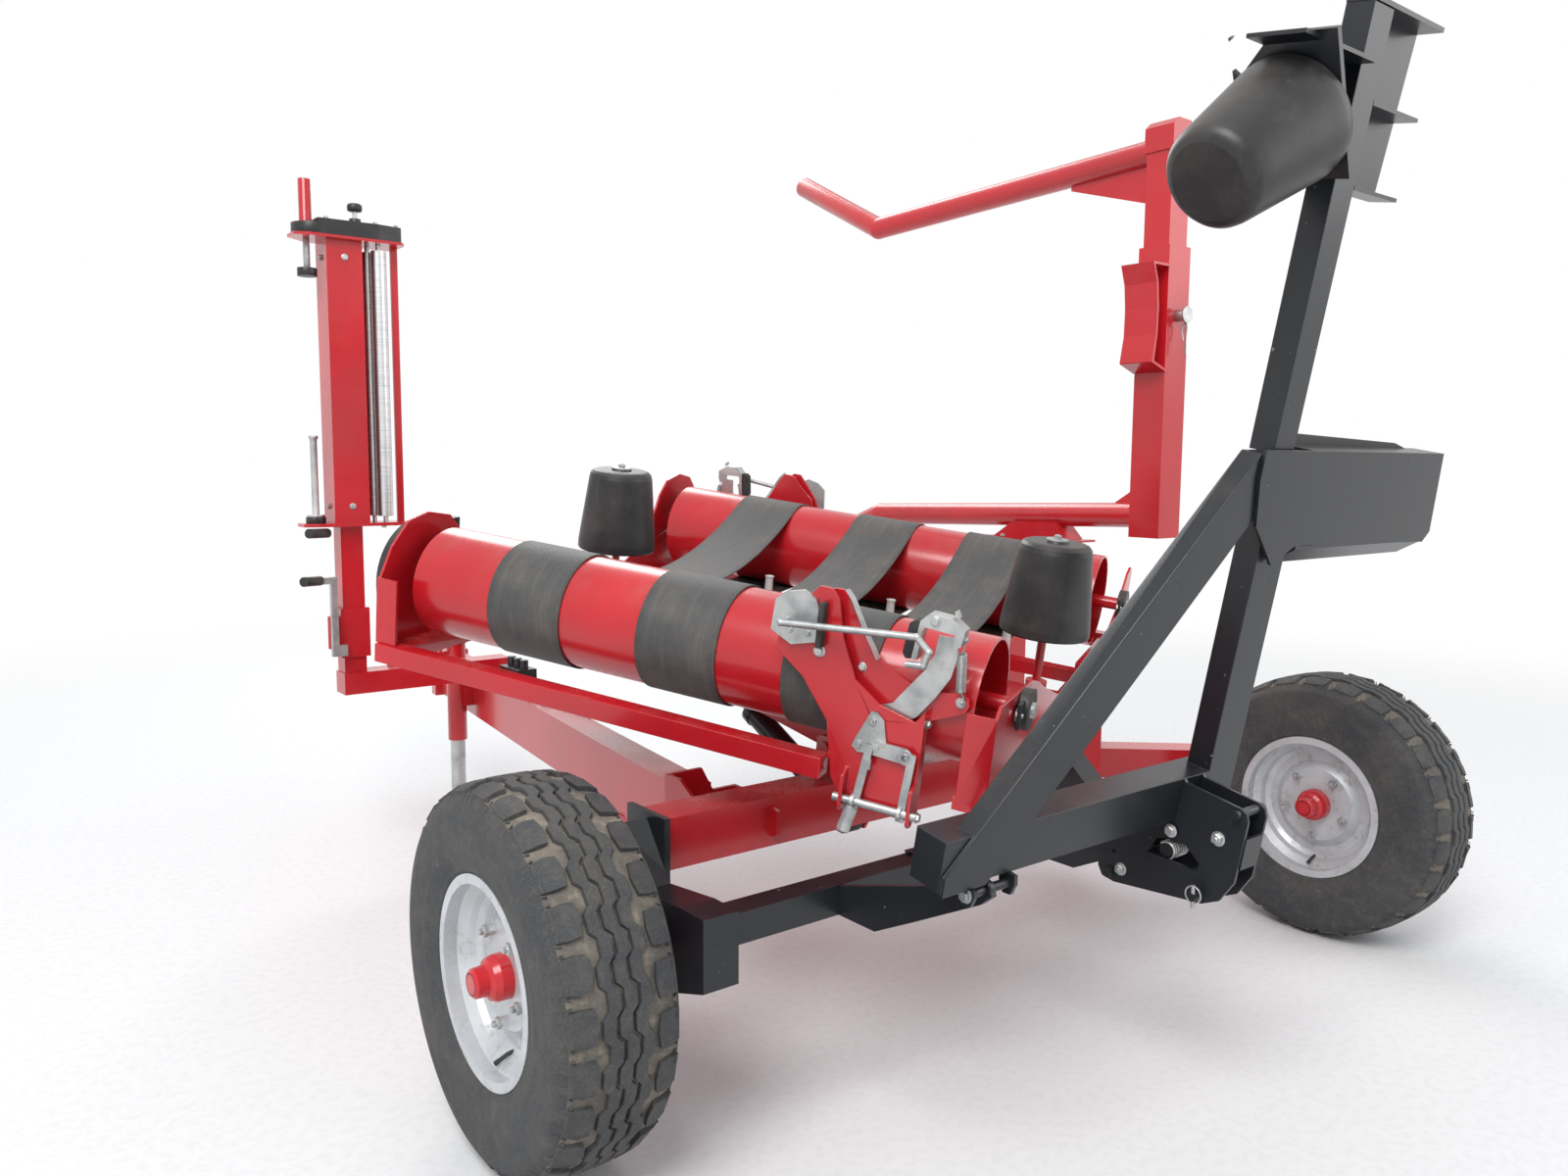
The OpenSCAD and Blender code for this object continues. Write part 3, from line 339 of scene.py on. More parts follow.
class Shape:
    """Faces gathered in millimetres in one frame, made into one piece."""

    def __init__(self):
        self.points = []
        self.faces = []
        self.uvs = {}

    def add(self, points, faces):
        start = len(self.points)
        self.points += [tuple(p) for p in points]
        self.faces += [tuple(start + i for i in face) for face in faces]

    def loft(self, rings, closed=False, caps=True):
        """Rings of equal count joined by quads."""
        n = len(rings[0])
        last = len(rings) if closed else len(rings) - 1
        faces = []
        for k in range(last):
            a, b = k * n, (k + 1) % len(rings) * n
            faces += [(a + i, a + (i + 1) % n, b + (i + 1) % n, b + i) for i in range(n)]
        if caps and not closed:
            faces += [tuple(reversed(range(n))), tuple(range((len(rings) - 1) * n, len(rings) * n))]
        self.add([p for ring in rings for p in ring], faces)

    def lathe(self, profile, steps=48, at=(0, 0, 0), along=(0, 0, 1), closed=False, caps=True):
        """A profile of (radius, height) turned about a line."""
        spin = Vector((0, 0, 1)).rotation_difference(Vector(along)).to_matrix()
        rings = []
        for r, h in profile:
            angles = [2 * math.pi * k / steps for k in range(steps)]
            circle = [Vector((r * math.cos(a), r * math.sin(a), h)) for a in angles]
            rings.append([spin @ p + Vector(at) for p in circle])
        self.loft(rings, closed, caps)

    def block(self, low, high):
        xs, ys, zs = zip(low, high)
        corners = [Vector((x, y, z)) for x in xs for y in ys for z in zs]
        self.add(corners, [
            (0, 1, 3, 2), (4, 6, 7, 5), (0, 4, 5, 1), (2, 3, 7, 6), (0, 2, 6, 4), (1, 5, 7, 3)])

    def tube(self, path, radius, sides=10, closed=False):
        path = [Vector(p) for p in path]
        n = len(path)
        rings = []
        normal = None
        for k, p in enumerate(path):
            if closed:
                ahead = path[(k + 1) % n] - path[k - 1]
            else:
                ahead = path[min(k + 1, n - 1)] - path[max(k - 1, 0)]
            ahead.normalize()
            if normal is None:
                normal = ahead.orthogonal().normalized()
            normal = (normal - ahead * normal.dot(ahead)).normalized()
            side = ahead.cross(normal)
            angles = [2 * math.pi * i / sides for i in range(sides)]
            rings.append([p + radius * (math.cos(a) * normal + math.sin(a) * side) for a in angles])
        self.loft(rings, closed)

    def bolt(self, at, along, size=12.0, washer=True, stem=0.0):
        """A hexagon head on a washer, with its thread showing if it has a stem."""
        along = Vector(along).normalized()
        at = Vector(at)
        if washer:
            disc = [(0.4, 0), (1.25, 0), (1.3, 0.6), (1.3, 1.6), (1.2, 2.2), (0.4, 2.2)]
            self.lathe([(size * r, h) for r, h in disc], 20, at, along)
        head = at + along * (2 if washer else 0)
        hexagon = [(1, 0), (1.02, 0.1), (1.02, 0.62), (0.9, 0.72)]
        self.lathe([(size * r, size * h) for r, h in hexagon], 6, head, along)
        if stem:
            self.lathe([(size * 0.5, 0), (size * 0.5, stem - 1), (size * 0.42, stem)], 14, head, along)

    def coil(self, start, end, radius, wire, turns, steps=14):
        start, end = Vector(start), Vector(end)
        along = (end - start).normalized()
        a = along.orthogonal().normalized()
        b = along.cross(a)
        count = int(turns * steps)
        path = []
        for k in range(count + 1):
            t = 2 * math.pi * k / steps
            path.append(start.lerp(end, k / count) + radius * (math.cos(t) * a + math.sin(t) * b))
        self.tube(path, wire, 7)

    def piece(self, name, place, finish, body, bevel=0.0, crease=38, slot=None):
        mesh = bpy.data.meshes.new(name)
        mesh.from_pydata(self.points, [], self.faces)
        mesh.transform(place)
        work = bmesh.new()
        work.from_mesh(mesh)
        bmesh.ops.recalc_face_normals(work, faces=work.faces)
        work.to_mesh(mesh)
        work.free()
        mesh.polygons.foreach_set("use_smooth", [True] * len(mesh.polygons))
        mesh.set_sharp_from_angle(angle=math.radians(crease))
        mesh.materials.append(FINISHES[finish])
        obj = bpy.data.objects.new(name, mesh)
        bpy.context.scene.collection.objects.link(obj)
        if bevel:
            round_edges(obj, bevel)
        if body:
            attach(obj, body)
        return obj


def round_edges(obj, width, angle=40):
    rounding = obj.modifiers.new("edges", "BEVEL")
    rounding.width = width
    rounding.segments = 2
    rounding.limit_method = "ANGLE"
    rounding.angle_limit = math.radians(angle)
    rounding.harden_normals = True
    rounding.use_clamp_overlap = True


class WrapperOperator:
    bl_options = {"REGISTER", "UNDO"}

    @property
    def sizes(self):
        return bpy.context.scene.wrapper_sizes

    @property
    def colours(self):
        return bpy.context.scene.wrapper_colours


class BALE_WRAPPER_OT_stage(WrapperOperator, bpy.types.Operator):
    """Pale floor, soft lamps, white surroundings and the camera"""
    bl_idname = "bale_wrapper.stage"
    bl_label = "Stage"

    def execute(self, context):
        scene = context.scene
        scene.view_settings.view_transform = "Standard"
        self.floor(scene)
        self.surroundings(scene)
        self.lamp("key", (-5.5, -4.0, 7.5), 5.0, 620)
        self.lamp("fill", (5.5, -6.5, 4.5), 6.0, 190)
        self.lamp("back", (2.0, 7.0, 6.5), 5.0, 330)
        self.camera(scene)
        return {"FINISHED"}

    def rays(self, f):
        seen = f.node("ShaderNodeLightPath", out="Is Camera Ray")
        seen = seen.math("MAXIMUM", seen, f.node("ShaderNodeLightPath", out="Is Glossy Ray"))
        return seen.math("MAXIMUM", seen, f.node("ShaderNodeLightPath", out="Is Transmission Ray"))

    def floor(self, scene):
        shape = Shape()
        shape.add([(-60, -60, 0), (60, -60, 0), (60, 60, 0), (-60, 60, 0)], [(0, 1, 2, 3)])
        mesh = bpy.data.meshes.new("floor")
        mesh.from_pydata(shape.points, [], shape.faces)
        floor = bpy.data.objects.new("floor", mesh)
        scene.collection.objects.link(floor)
        f = Finish("floor_pale", Roughness=0.9, Specular_IOR_Level=0.1)
        reach = f.node("ShaderNodeVectorMath", {"operation": "LENGTH"}, {0: f.place}, out="Value")
        grain = f.noise(40.0, 4)
        f.done(f.mix((0.8, 0.8, 0.8), (0.76, 0.76, 0.76), grain.band(0.4, 0.7)))
        glow = f.node("ShaderNodeEmission", None, {"Color": (1, 1, 1, 1), "Strength": 1.0})
        shader = Value(f, f.shader.outputs[0])
        far = f.node("ShaderNodeMixShader", None, {0: self.rays(f) * reach.band(3.2, 8.5), 1: shader, 2: glow})
        f.tree.links.new(far.socket, f.tree.nodes["Material Output"].inputs["Surface"])
        mesh.materials.append(f.material)

    def surroundings(self, scene):
        world = bpy.data.worlds.new("studio")
        scene.world = world
        world.use_nodes = True
        tree = world.node_tree
        f = Finish.__new__(Finish)
        f.tree = tree
        dim = f.node("ShaderNodeBackground", None, {"Color": (0.93, 0.96, 1, 1), "Strength": 0.62})
        white = f.node("ShaderNodeBackground", None, {"Color": (1, 1, 1, 1), "Strength": 1.0})
        both = f.node("ShaderNodeMixShader", None, {0: self.rays(f), 1: dim, 2: white})
        tree.links.new(both.socket, tree.nodes["World Output"].inputs["Surface"])

    def lamp(self, name, place, size, power):
        light = bpy.data.lights.new(name, "AREA")
        light.shape = "DISK"
        light.size = size
        light.energy = power
        lamp = bpy.data.objects.new(name, light)
        bpy.context.scene.collection.objects.link(lamp)
        lamp.location = place
        lamp.rotation_euler = (Vector((0, 0, 1)) - Vector(place)).to_track_quat("-Z", "Y").to_euler()

    def camera(self, scene):
        yaw, pitch, roll = math.radians(37.74), math.radians(-6.12), 0.0066
        ahead = Vector((math.sin(yaw) * math.cos(pitch), math.cos(yaw) * math.cos(pitch), math.sin(pitch)))
        side = Vector((math.cos(yaw), -math.sin(yaw), 0))
        up = side.cross(ahead)
        right = side * math.cos(roll) + up * math.sin(roll)
        top = up * math.cos(roll) - side * math.sin(roll)
        lens = bpy.data.cameras.new("photo")
        lens.lens = 26.8
        lens.sensor_width = 36
        lens.clip_end = 200
        camera = bpy.data.objects.new("photo", lens)
        scene.collection.objects.link(camera)
        facing = Matrix((right, top, -ahead)).transposed().to_4x4()
        camera.matrix_world = Matrix.Translation((-2.4489, -3.2303, 1.5188)) @ facing
        scene.camera = camera


class BALE_WRAPPER_OT_finishes(WrapperOperator, bpy.types.Operator):
    """Paint, plating, plastic and rubber on every part of the frame"""
    bl_idname = "bale_wrapper.finishes"
    bl_label = "Finishes"

    SHARP = (
        "belts", "tyre", "rim", "hub", "roller", "stretch", "hydraulics", "rod", "cone", "latch",
        "cutter_fit", "belt_pegs")

    def execute(self, context):
        make_finishes(self.colours)
        slots = {s["node"]: s["material_slot"] for s in frame["record"]["subparts"]}
        for name, obj in NODES.items():
            for place in obj.material_slots:
                place.link = "OBJECT"
                place.material = FINISHES[slots[name]]
            if not name.startswith(self.SHARP):
                weld = obj.modifiers.new("weld", "WELD")
                weld.merge_threshold = 0.00005
                round_edges(obj, self.sizes.edge * 0.7)
        return {"FINISHED"}


class BALE_WRAPPER_OT_tyres(WrapperOperator, bpy.types.Operator):
    """Implement tyres with three zig-zag ribs between slotted shoulder lugs"""
    bl_idname = "bale_wrapper.tyres"
    bl_label = "Tyres"

    def execute(self, context):
        for side, place in (("left", LEFT_WHEEL), ("right", RIGHT_WHEEL)):
            self.carcass(place, side)
            self.tread(place, side)
        return {"FINISHED"}

    def crown(self, across):
        """Radius over the tread at a distance from the tyre's middle plane."""
        w = abs(across)
        rows = [(0, 0), (60, 1), (100, 6), (120, 18), (134, 42), (137, 77), (132, 132.5)]
        for (a, b), (c, d) in zip(rows, rows[1:]):
            if w <= c:
                return self.sizes.tyre_radius * 1000 - b - (d - b) * (w - a) / (c - a)
        return 290.0

    def carcass(self, place, side):
        deep = self.sizes.tread_depth * 1000
        half = [(0, deep), (60, deep), (94, deep), (109, deep * 0.9), (119, 6), (128, 3), (133, 1)]
        outer = [(w, self.crown(w) - d) for w, d in half]
        wall = [
            (135.5, 372), (137, 352), (136.2, 346), (137, 339), (136.4, 322), (135, 305), (133.2, 293),
            (133.9, 285), (131, 276), (127, 260), (123, 247), (121.4, 241), (122.5, 236.5), (119, 231),
            (112, 226), (110, 222), (110, 213)]
        profile = [(w, r - 1.2) for w, r in outer[:-1]] + outer[-1:] + wall
        ring = [(r, -w) for w, r in reversed(profile)] + [(r, w) for w, r in profile[1:]]
        ring += [(213, 96), (224, 66), (224, -66), (213, -96)]
        shape = Shape()
        shape.lathe(ring, 104, closed=True)
        tyre = shape.piece("tyre_carcass_" + side, place, "tyre_rubber", "wheel_" + side, crease=50)
        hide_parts("tyre_" + side)
        floor = [(r, w) for w, r in outer[:5]]
        floor = [(r, -w) for r, w in reversed(floor)] + floor[1:]
        shape = Shape()
        shape.lathe(floor + [(r - 3, w * 0.97) for r, w in reversed(floor)], 104, closed=True)
        shape.piece("tyre_floor_" + side, place, "tyre_groove", "wheel_" + side, crease=50, slot="tyre_rubber")

    def tread(self, place, side):
        deep = self.sizes.tread_depth * 1000 + 0.5
        lugs = self.sizes.lugs
        shape = Shape()
        for centre in (-35, 0, 35):
            self.rib(shape, centre, 12.6, lugs, deep)
        for hand in (-1, 1):
            for k in range(lugs):
                self.lug(shape, hand, 2 * math.pi * (k + (0.5 if hand > 0 else 0)) / lugs, lugs, deep)
        shape.piece("tyre_tread_" + side, place, "tyre_rubber", "wheel_" + side, crease=32)

    def at(self, angle, radius, across):
        return (radius * math.cos(angle), radius * math.sin(angle), across)

    def rib(self, shape, centre, half, lugs, deep):
        steps = lugs * 4
        shifts = (-7, -7, 7, 7)
        rings = []
        for k in range(steps):
            angle = 2 * math.pi * (k + (0.22 if k % 2 else -0.22)) / steps
            mid = centre + shifts[k % 4]
            left = [(-half - 1.5, deep), (-half, 1.2), (-half + 1.2, 0)]
            edge = [(mid + w, d) for w, d in left] + [(mid - w, d) for w, d in reversed(left)]
            rings.append([self.at(angle, self.crown(w) - d, w) for w, d in edge])
        shape.loft(rings, closed=True, caps=False)

    def lug(self, shape, hand, angle, lugs, deep):
        """A block on the shoulder that runs down the wall in two fingers."""
        pitch = 2 * math.pi / lugs
        head = [(-0.33, 70), (0.0, 64), (0.33, 70), (0.36, 94), (0.33, 119), (-0.33, 119), (-0.36, 94)]
        self.slab(shape, hand, angle, pitch, head, deep, 0)
        for low, high in ((-0.33, -0.13), (0.13, 0.33), (-0.42, -0.39), (0.39, 0.42)):
            finger = [(low, 111), (high, 111), (high * 0.96, 133), (low * 0.96, 133)]
            self.slab(shape, hand, angle, pitch, finger, 7, 1.0)

    def slab(self, shape, hand, angle, pitch, outline, deep, low):
        top = [self.at(angle + pitch * t, self.crown(w) - low, hand * w) for t, w in outline]
        flare = 1.5
        base = [
            self.at(angle + pitch * t * 1.06, self.crown(w) - deep, hand * (w - (flare if w > 103 else -flare)))
            for t, w in outline]
        n = len(outline)
        faces = [tuple(range(n)), tuple(reversed(range(n, 2 * n)))]
        faces += [(i, n + i, n + (i + 1) % n, (i + 1) % n) for i in range(n)]
        shape.add(top + base, faces)


class BALE_WRAPPER_OT_wheel_nuts(WrapperOperator, bpy.types.Operator):
    """Studs, nuts, valve and hub cap of each wheel"""
    bl_idname = "bale_wrapper.wheel_nuts"
    bl_label = "Wheel nuts"

    def execute(self, context):
        for side, place in (("left", LEFT_WHEEL), ("right", RIGHT_WHEEL)):
            shape = Shape()
            for k in range(5):
                a = math.radians(72 * k)
                at = (102.5 * math.cos(a), 102.5 * math.sin(a), -78)
                shape.bolt(at, (0, 0, -1), 13.5, washer=False, stem=19)
            shape.piece("wheel_nuts_" + side, place, "zinc", "wheel_" + side)
            shape = Shape()
            shape.tube([(176, 0, -46), (178, 0, -62), (183, 0, -74), (188, 0, -84)], 4.5)
            shape.lathe([(5.4, 0), (5.6, 10), (4.6, 12)], 12, (187, 0, -82), (0.4, 0, -0.9))
            shape.piece("valve_" + side, place, "hose_rubber", "wheel_" + side, slot="tyre_rubber")
            cap = Shape()
            cap.lathe([(24, -142.2), (22, -142.2), (20.5, -139.5), (0.5, -139.5)], 40)
            cap.lathe([(34.6, -112), (35.6, -111), (35.6, -107), (34.6, -106)], 40)
            cap.piece("hub_rings_" + side, place, "red_paint", "wheel_" + side)
        return {"FINISHED"}


class BALE_WRAPPER_OT_belts(WrapperOperator, bpy.types.Operator):
    """Three woven rubber belts that hang between the rollers"""
    bl_idname = "bale_wrapper.belts"
    bl_label = "Belts"

    def path(self, radius):
        """The belt's loop round both rollers, from the slack upper run."""
        gap, sag = ROLLER_X, BELT_SAG
        s = gap - radius * math.sin(math.radians(sag))
        c = radius * math.cos(math.radians(sag))
        d = s * math.tan(math.radians(sag)) / 2
        run = [s - 2 * s * k / 60 for k in range(1, 60)]
        slack = [(x, c - d + d * x ** 2 / s / s) for x in run]
        near = [math.radians(90 - sag + (180 + sag) * k / 40) for k in range(41)]
        far = [math.radians(270 + (180 + sag) * k / 40) for k in range(41)]
        loop = [(-gap + radius * math.cos(a), radius * math.sin(a)) for a in near]
        loop += [(gap + radius * math.cos(a), radius * math.sin(a)) for a in far]
        return loop + slack

    def execute(self, context):
        thick = self.sizes.belt_thickness * 1000
        wide = self.sizes.belt_width * 1000
        outer, inner = self.path(BELT_IN + thick), self.path(BELT_IN)
        for row, start in enumerate(BELT_ROWS):
            rings = []
            for (ox, oz), (ix, iz) in zip(outer, inner):
                mid = ((ox + ix) / 2, (oz + iz) / 2)
                y0, y1 = start - wide / 2, start + wide / 2
                soft = 1.2
                rings.append([
                    (mid[0], y0, mid[1]), (ox, y0 + soft, oz), (ox, y0 + wide * 0.33, oz),
                    (ox, y0 + wide * 0.67, oz), (ox, y1 - soft, oz), (mid[0], y1, mid[1]),
                    (ix, y1 - soft, iz), (ix, y0 + soft, iz)])
            shape = Shape()
            shape.loft(rings, closed=True)
            belt = shape.piece("belt_%d" % row, TABLE, "belt_rubber", "table", crease=50)
            self.lay_out(belt, rings)
            if row == 0:
                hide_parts("belts")
        return {"FINISHED"}

    def lay_out(self, belt, rings):
        """UVs in metres: along the belt, and across it."""
        mesh = belt.data
        uv = mesh.uv_layers.new(name="belt")
        n = len(rings[0])
        along = [0.0]
        for a, b in zip(rings, rings[1:] + rings[:1]):
            along.append(along[-1] + (Vector(a[1]) - Vector(b[1])).length / 1000)
        base = rings[0][0][1]
        for polygon in mesh.polygons:
            ks = [mesh.loops[i].vertex_index // n for i in polygon.loop_indices]
            wraps = max(ks) - min(ks) > 1
            for i in polygon.loop_indices:
                v = mesh.loops[i].vertex_index
                k, j = divmod(v, n)
                u = along[len(rings)] if wraps and k == 0 else along[k]
                uv.data[i].uv = (u, (rings[k][j][1] - base) / 1000)


class BALE_WRAPPER_OT_table_fittings(WrapperOperator, bpy.types.Operator):
    """Cone caps, roller bearings and the bolts of the turntable"""
    bl_idname = "bale_wrapper.table_fittings"
    bl_label = "Turntable fittings"

    def execute(self, context):
        size = self.sizes.bolt * 1000
        bolts = Shape()
        for b in (-ROLLER_X, ROLLER_X):
            for s in (-1, 1):
                for db in (-58, 58):
                    bolts.bolt((b + db, s * 857.3, 0), (0, s, 0), size, stem=14)
                bolts.lathe([(19, 0), (19, 22), (17.5, 24), (0.5, 24)], 24, (b, s * 864, 0), (0, s, 0))
        for b in (-780, -520, 520, 780):
            bolts.bolt((b, -853, -150), (0, -1, 0), size * 0.9)
            bolts.bolt((b, 853, -150), (0, 1, 0), size * 0.9)
        bolts.piece("table_bolts", TABLE, "zinc", "table")
        for name, a in (("cone_front", 670), ("cone_rear", -752)):
            cap = Shape()
            cap.lathe([(13, 284), (30, 284), (31, 285), (31, 288), (29, 289), (13, 289)], 32, (0, a, 0))
            cap.bolt((0, a, 289), (0, 0, 1), 11, stem=10)
            cap.piece(name + "_cap", TABLE, "zinc", name)
        pegs = Shape()
        for a in (290, 96, -162, -304, -562):
            for b in (-400, 400):
                cap = [(13.5, -71), (15.5, -70.5), (16, -68), (15.5, -66.5), (9, -66.2), (8, -69), (0.5, -69.2)]
                pegs.lathe(cap, 24, (b, a, 0))
        pegs.piece("peg_caps", TABLE, "white_plastic", "table")
        return {"FINISHED"}


class BALE_WRAPPER_OT_cutters(WrapperOperator, bpy.types.Operator):
    """Springs, pads, clamping strips, bolts and grips of both film cutters"""
    bl_idname = "bale_wrapper.cutters"
    bl_label = "Film cutters"

    # Place on the table as (across, along, up), size of the head, length of the stem
    FACE_BOLTS = (
        ((-875, -575, -41), 10, 12), ((-875, -547, -103), 9, 6), ((-875, -589, -100), 10, 8),
        ((-868, -427, 88), 11, 0), ((-878, -354, 125), 6, 0), ((-878, -398, 124), 6, 0),
        ((-842, -442, 205), 8, 0), ((-842, -524, 66), 8, 0), ((-842, -757, 33), 9, 14),
        ((-884, -690, 212), 9, 0),
    )
    END_BOLTS = (((-846, -690, -30), 9, 8), ((-882, -702, -236), 10, 8))

    def execute(self, context):
        for name, place in (("rear", TABLE), ("front", OPPOSITE)):
            self.bolts(name, place)
            self.blade(name, place)
            self.spring(name, place)
        return {"FINISHED"}

    def bolts(self, name, place):
        shape = Shape()
        for at, size, stem in self.FACE_BOLTS[:-1]:
            shape.bolt(at, (-1, 0, 0), size, stem=stem)
        for at, size, stem in self.END_BOLTS:
            shape.bolt(at, (0, -1, 0), size, stem=stem)
        washer = [(7, 0), (17, 0), (18, 1), (18, 4), (17, 5), (10, 5), (10, 8), (9, 9), (7, 9)]
        shape.lathe(washer, 28, (-881, -661, -104), (-1, 0, 0), closed=True)
        collar = [(10.2, -5), (16, -5), (17, -4), (17, 4), (16, 5), (10.2, 5)]
        for a in (-552, -664):
            shape.lathe(collar, 28, (-882, a, -236), (0, 1, 0), closed=True)
        grip = [(12, 0), (15, 3), (15.6, 18), (15, 34), (15.8, 50), (15.2, 60), (12.5, 63), (0.5, 63)]
        shape.lathe(grip, 28, (-884, -552, -246), (-0.235, 0.18, -0.955))
        shape.block((-884, -566, -150), (-892, -586, -126))
        shape.piece("cutter_bolts_" + name, place, "zinc", "table")

    def blade(self, name, place):
        """Folded clamping strip on the inner plate and the rubber pads that hold the film."""
        strip = Shape()
        line = [(-470, 236), (-486, 218), (-504, 186), (-524, 150), (-545, 118), (-560, 94)]
        strip.loft([
            [(-862, a, c), (-836, a, c), (-836, a - 2.4, c - 1.2), (-862, a - 2.4, c - 1.2)] for a, c in line])
        strip.piece("cutter_strip_" + name, place, "zinc", "table", bevel=0.0008)
        pad = Shape()
        pad.block((-896, -438, 100), (-868.3, -424, 204))
        pad.piece("cutter_pad_" + name, place, "hose_rubber", "table", bevel=0.003, slot="belt_rubber")
        pad = Shape()
        slope = [(-646, 119), (-656, 206), (-645, 207), (-633, 198), (-625, 130), (-632, 118)]
        pad.loft([[(b, a, c) for a, c in slope] for b in (-886, -853)])
        jaw = "cutter_jaw_" + name
        pad.piece("jaw_pad_" + name, place, "hose_rubber", jaw, bevel=0.003, slot="belt_rubber")
        head = Shape()
        at, size, _ = self.FACE_BOLTS[-1]
        head.bolt(at, (-1, 0, 0), size)
        head.bolt((-862, -752, 180), (0, -1, 0), 8)
        head.loft([[(b, -738, 226), (b, -733, 226), (b, -727, 238), (b, -731, 241)] for b in (-878, -856)])
        head.piece("jaw_bolts_" + name, place, "zinc", jaw)

    def spring(self, name, place):
        """Tension spring between the jaw's head and the inner plate's lobe."""
        low, high = Vector((-850, -757, 48)), Vector((-862, -750, 158))
        shape = Shape()
        first, last = low.lerp(high, 0.12), low.lerp(high, 0.9)
        wire = 1.9
        shape.coil(first, last, 9, wire, 26, 12)
        hook = [low + Vector(v) for v in ((0, 0, -18), (0, -8, -10), (0, -7, 0))]
        shape.tube(hook + [first], wire, 7)
        shape.tube([last, high + Vector((0, -4, 6)), high + Vector((0, 2, 20))], wire, 7)
        spring = shape.piece("cutter_spring_" + name, place, "zinc", None)
        "cutter_jaw_" + name
        place @ low
        place @ high
        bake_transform(spring)


class BALE_WRAPPER_OT_latch(WrapperOperator, bpy.types.Operator):
    """Return spring, bolts and linch pin of the upender's latch"""
    bl_idname = "bale_wrapper.latch"
    bl_label = "Upender latch"

    def execute(self, context):
        spring = Shape()
        spring.coil((-88, -735, 636), (-28, -735, 636), 19.5, 3.2, 7, 20)
        spring.piece("latch_spring", CHASSIS, "zinc", "upender")
        bolts = Shape()
        bolts.bolt((-97, -870, 700), (-1, 0, 0), 13, stem=14)
        bolts.bolt((-97, -620, 560), (-1, 0, 0), 12, stem=13)
        bolts.bolt((-103, -755, 690), (-1, 0, 0), 12)
        for x, hand in ((-775, -1), (-650, 1)):
            bolts.bolt((x, -755, 690), (hand, 0, 0), 12)
        bolts.piece("latch_bolts", CHASSIS, "zinc", "upender")
        pin = Shape()
        pin.tube([(-122, -830, 588), (-122, -830, 534)], 4.5)
        angles = [2 * math.pi * k / 24 for k in range(24)]
        ring = [(-122, -830 + 19 * math.sin(t), 566 - 19 * math.cos(t)) for t in angles]
        pin.tube(ring, 2.0, 8, closed=True)
        pin.piece("linch_pin", CHASSIS, "zinc", "upender")
        return {"FINISHED"}


class BALE_WRAPPER_OT_film_unit(WrapperOperator, bpy.types.Operator):
    """Gear housing bolts and knob of the film unit"""
    bl_idname = "bale_wrapper.film_unit"
    bl_label = "Film unit"

    def execute(self, context):
        bolts = Shape()
        for x, y in ((-60, -62), (110, -66), (190, -52), (190, 44), (110, 66), (-50, 66)):
            bolts.bolt((x, y, 1065.3), (0, 0, 1), 8)
            bolts.bolt((x, y, -12), (0, 0, -1), 8)
        bolts.lathe([(8, 0), (8, 26), (7, 27)], 16, (60, 0, 1087))
        for x, y in ((-58, 0), (0, -58), (0, 58)):
            along = (-1 if x else 0, -1 if y < 0 else (1 if y > 0 else 0), 0)
            for z in (60, 940):
                bolts.bolt((x * 1.09 if x else 0, y * 1.07 if y else 0, z), along, 9)
        bolts.piece("film_bolts", FILM, "zinc", "chassis")
        knob = Shape()
        knob.lathe([(10, 1112), (24, 1114), (27, 1120), (27, 1132), (22, 1140), (8, 1143)], 10)
        knob.points = [(x + 60, y, z) for x, y, z in knob.points]
        knob.piece("film_knob", FILM, "black_plastic", "chassis", bevel=0.003)
        return {"FINISHED"}


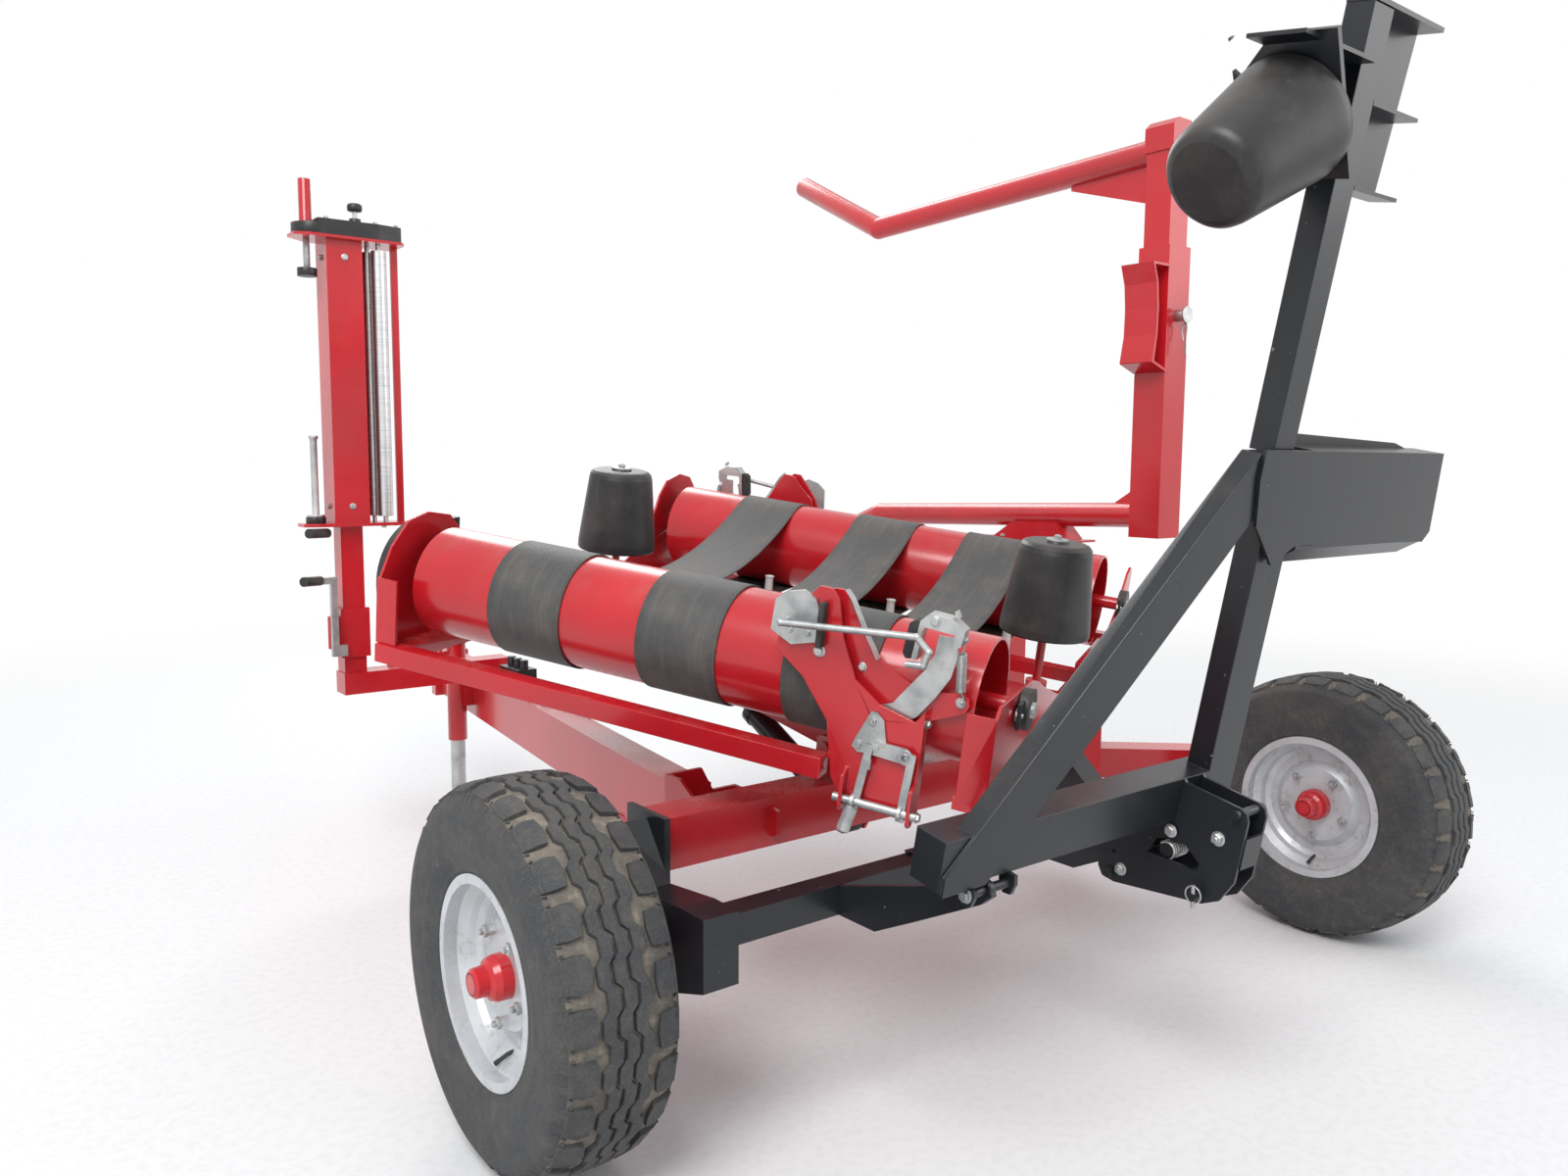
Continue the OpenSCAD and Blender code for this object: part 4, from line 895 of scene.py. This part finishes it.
class BALE_WRAPPER_OT_loader(WrapperOperator, bpy.types.Operator):
    """Clip and bolts of the loading arm"""
    bl_idname = "bale_wrapper.loader"
    bl_label = "Loading arm"

    def execute(self, context):
        clip = Shape()
        turns = [k * 0.5 for k in range(9)]
        path = [(LOADER_X, 76 + 4 * math.sin(t), 1992 - 14 * t) for t in turns]
        clip.tube(path, 2.4, 8)
        clip.tube([(LOADER_X, 72, 2032), (LOADER_X, 72, 1985)], 2.6, 8)
        clip.piece("loader_clip", CHASSIS, "zinc", "loader")
        bolts = Shape()
        for y in (560, 800):
            for s in (-1, 1):
                bolts.bolt((LOADER_X + s * 52, y, 1243), (0, 0, 1), 10)
        bolts.piece("loader_bolts", CHASSIS, "zinc", "loader")
        return {"FINISHED"}


class BALE_WRAPPER_PT_panel(bpy.types.Panel):
    """Lists what dresses the bale wrapper"""
    bl_idname = "BALE_WRAPPER_PT_panel"
    bl_label = "Bale wrapper"
    bl_space_type = "VIEW_3D"
    bl_region_type = "UI"
    bl_category = "Wrapper"

    def draw(self, context):
        layout = self.layout
        for group in (context.scene.wrapper_sizes, context.scene.wrapper_colours):
            column = layout.column()
            for name in group.bl_rna.properties.keys():
                if name not in ("rna_type", "name"):
                    column.prop(group, name)
        for operator in OPERATORS:
            layout.operator(operator.bl_idname)


OPERATORS = (
    BALE_WRAPPER_OT_stage,
    BALE_WRAPPER_OT_finishes,
    BALE_WRAPPER_OT_tyres,
    BALE_WRAPPER_OT_wheel_nuts,
    BALE_WRAPPER_OT_belts,
    BALE_WRAPPER_OT_table_fittings,
    BALE_WRAPPER_OT_cutters,
    BALE_WRAPPER_OT_latch,
    BALE_WRAPPER_OT_film_unit,
    BALE_WRAPPER_OT_loader,
)
CLASSES = (WrapperSizes, WrapperColours) + OPERATORS + (BALE_WRAPPER_PT_panel,)


def register():
    for item in CLASSES:
        bpy.utils.register_class(item)
    bpy.types.Scene.wrapper_sizes = PointerProperty(type=WrapperSizes)
    bpy.types.Scene.wrapper_colours = PointerProperty(type=WrapperColours)


def unregister():
    del bpy.types.Scene.wrapper_colours
    del bpy.types.Scene.wrapper_sizes
    for item in reversed(CLASSES):
        bpy.utils.unregister_class(item)


def main():
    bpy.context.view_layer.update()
    register()
    for operator in OPERATORS:
        group, name = operator.bl_idname.split(".")
        getattr(getattr(bpy.ops, group), name)()


if __name__ == "__main__":
    main()
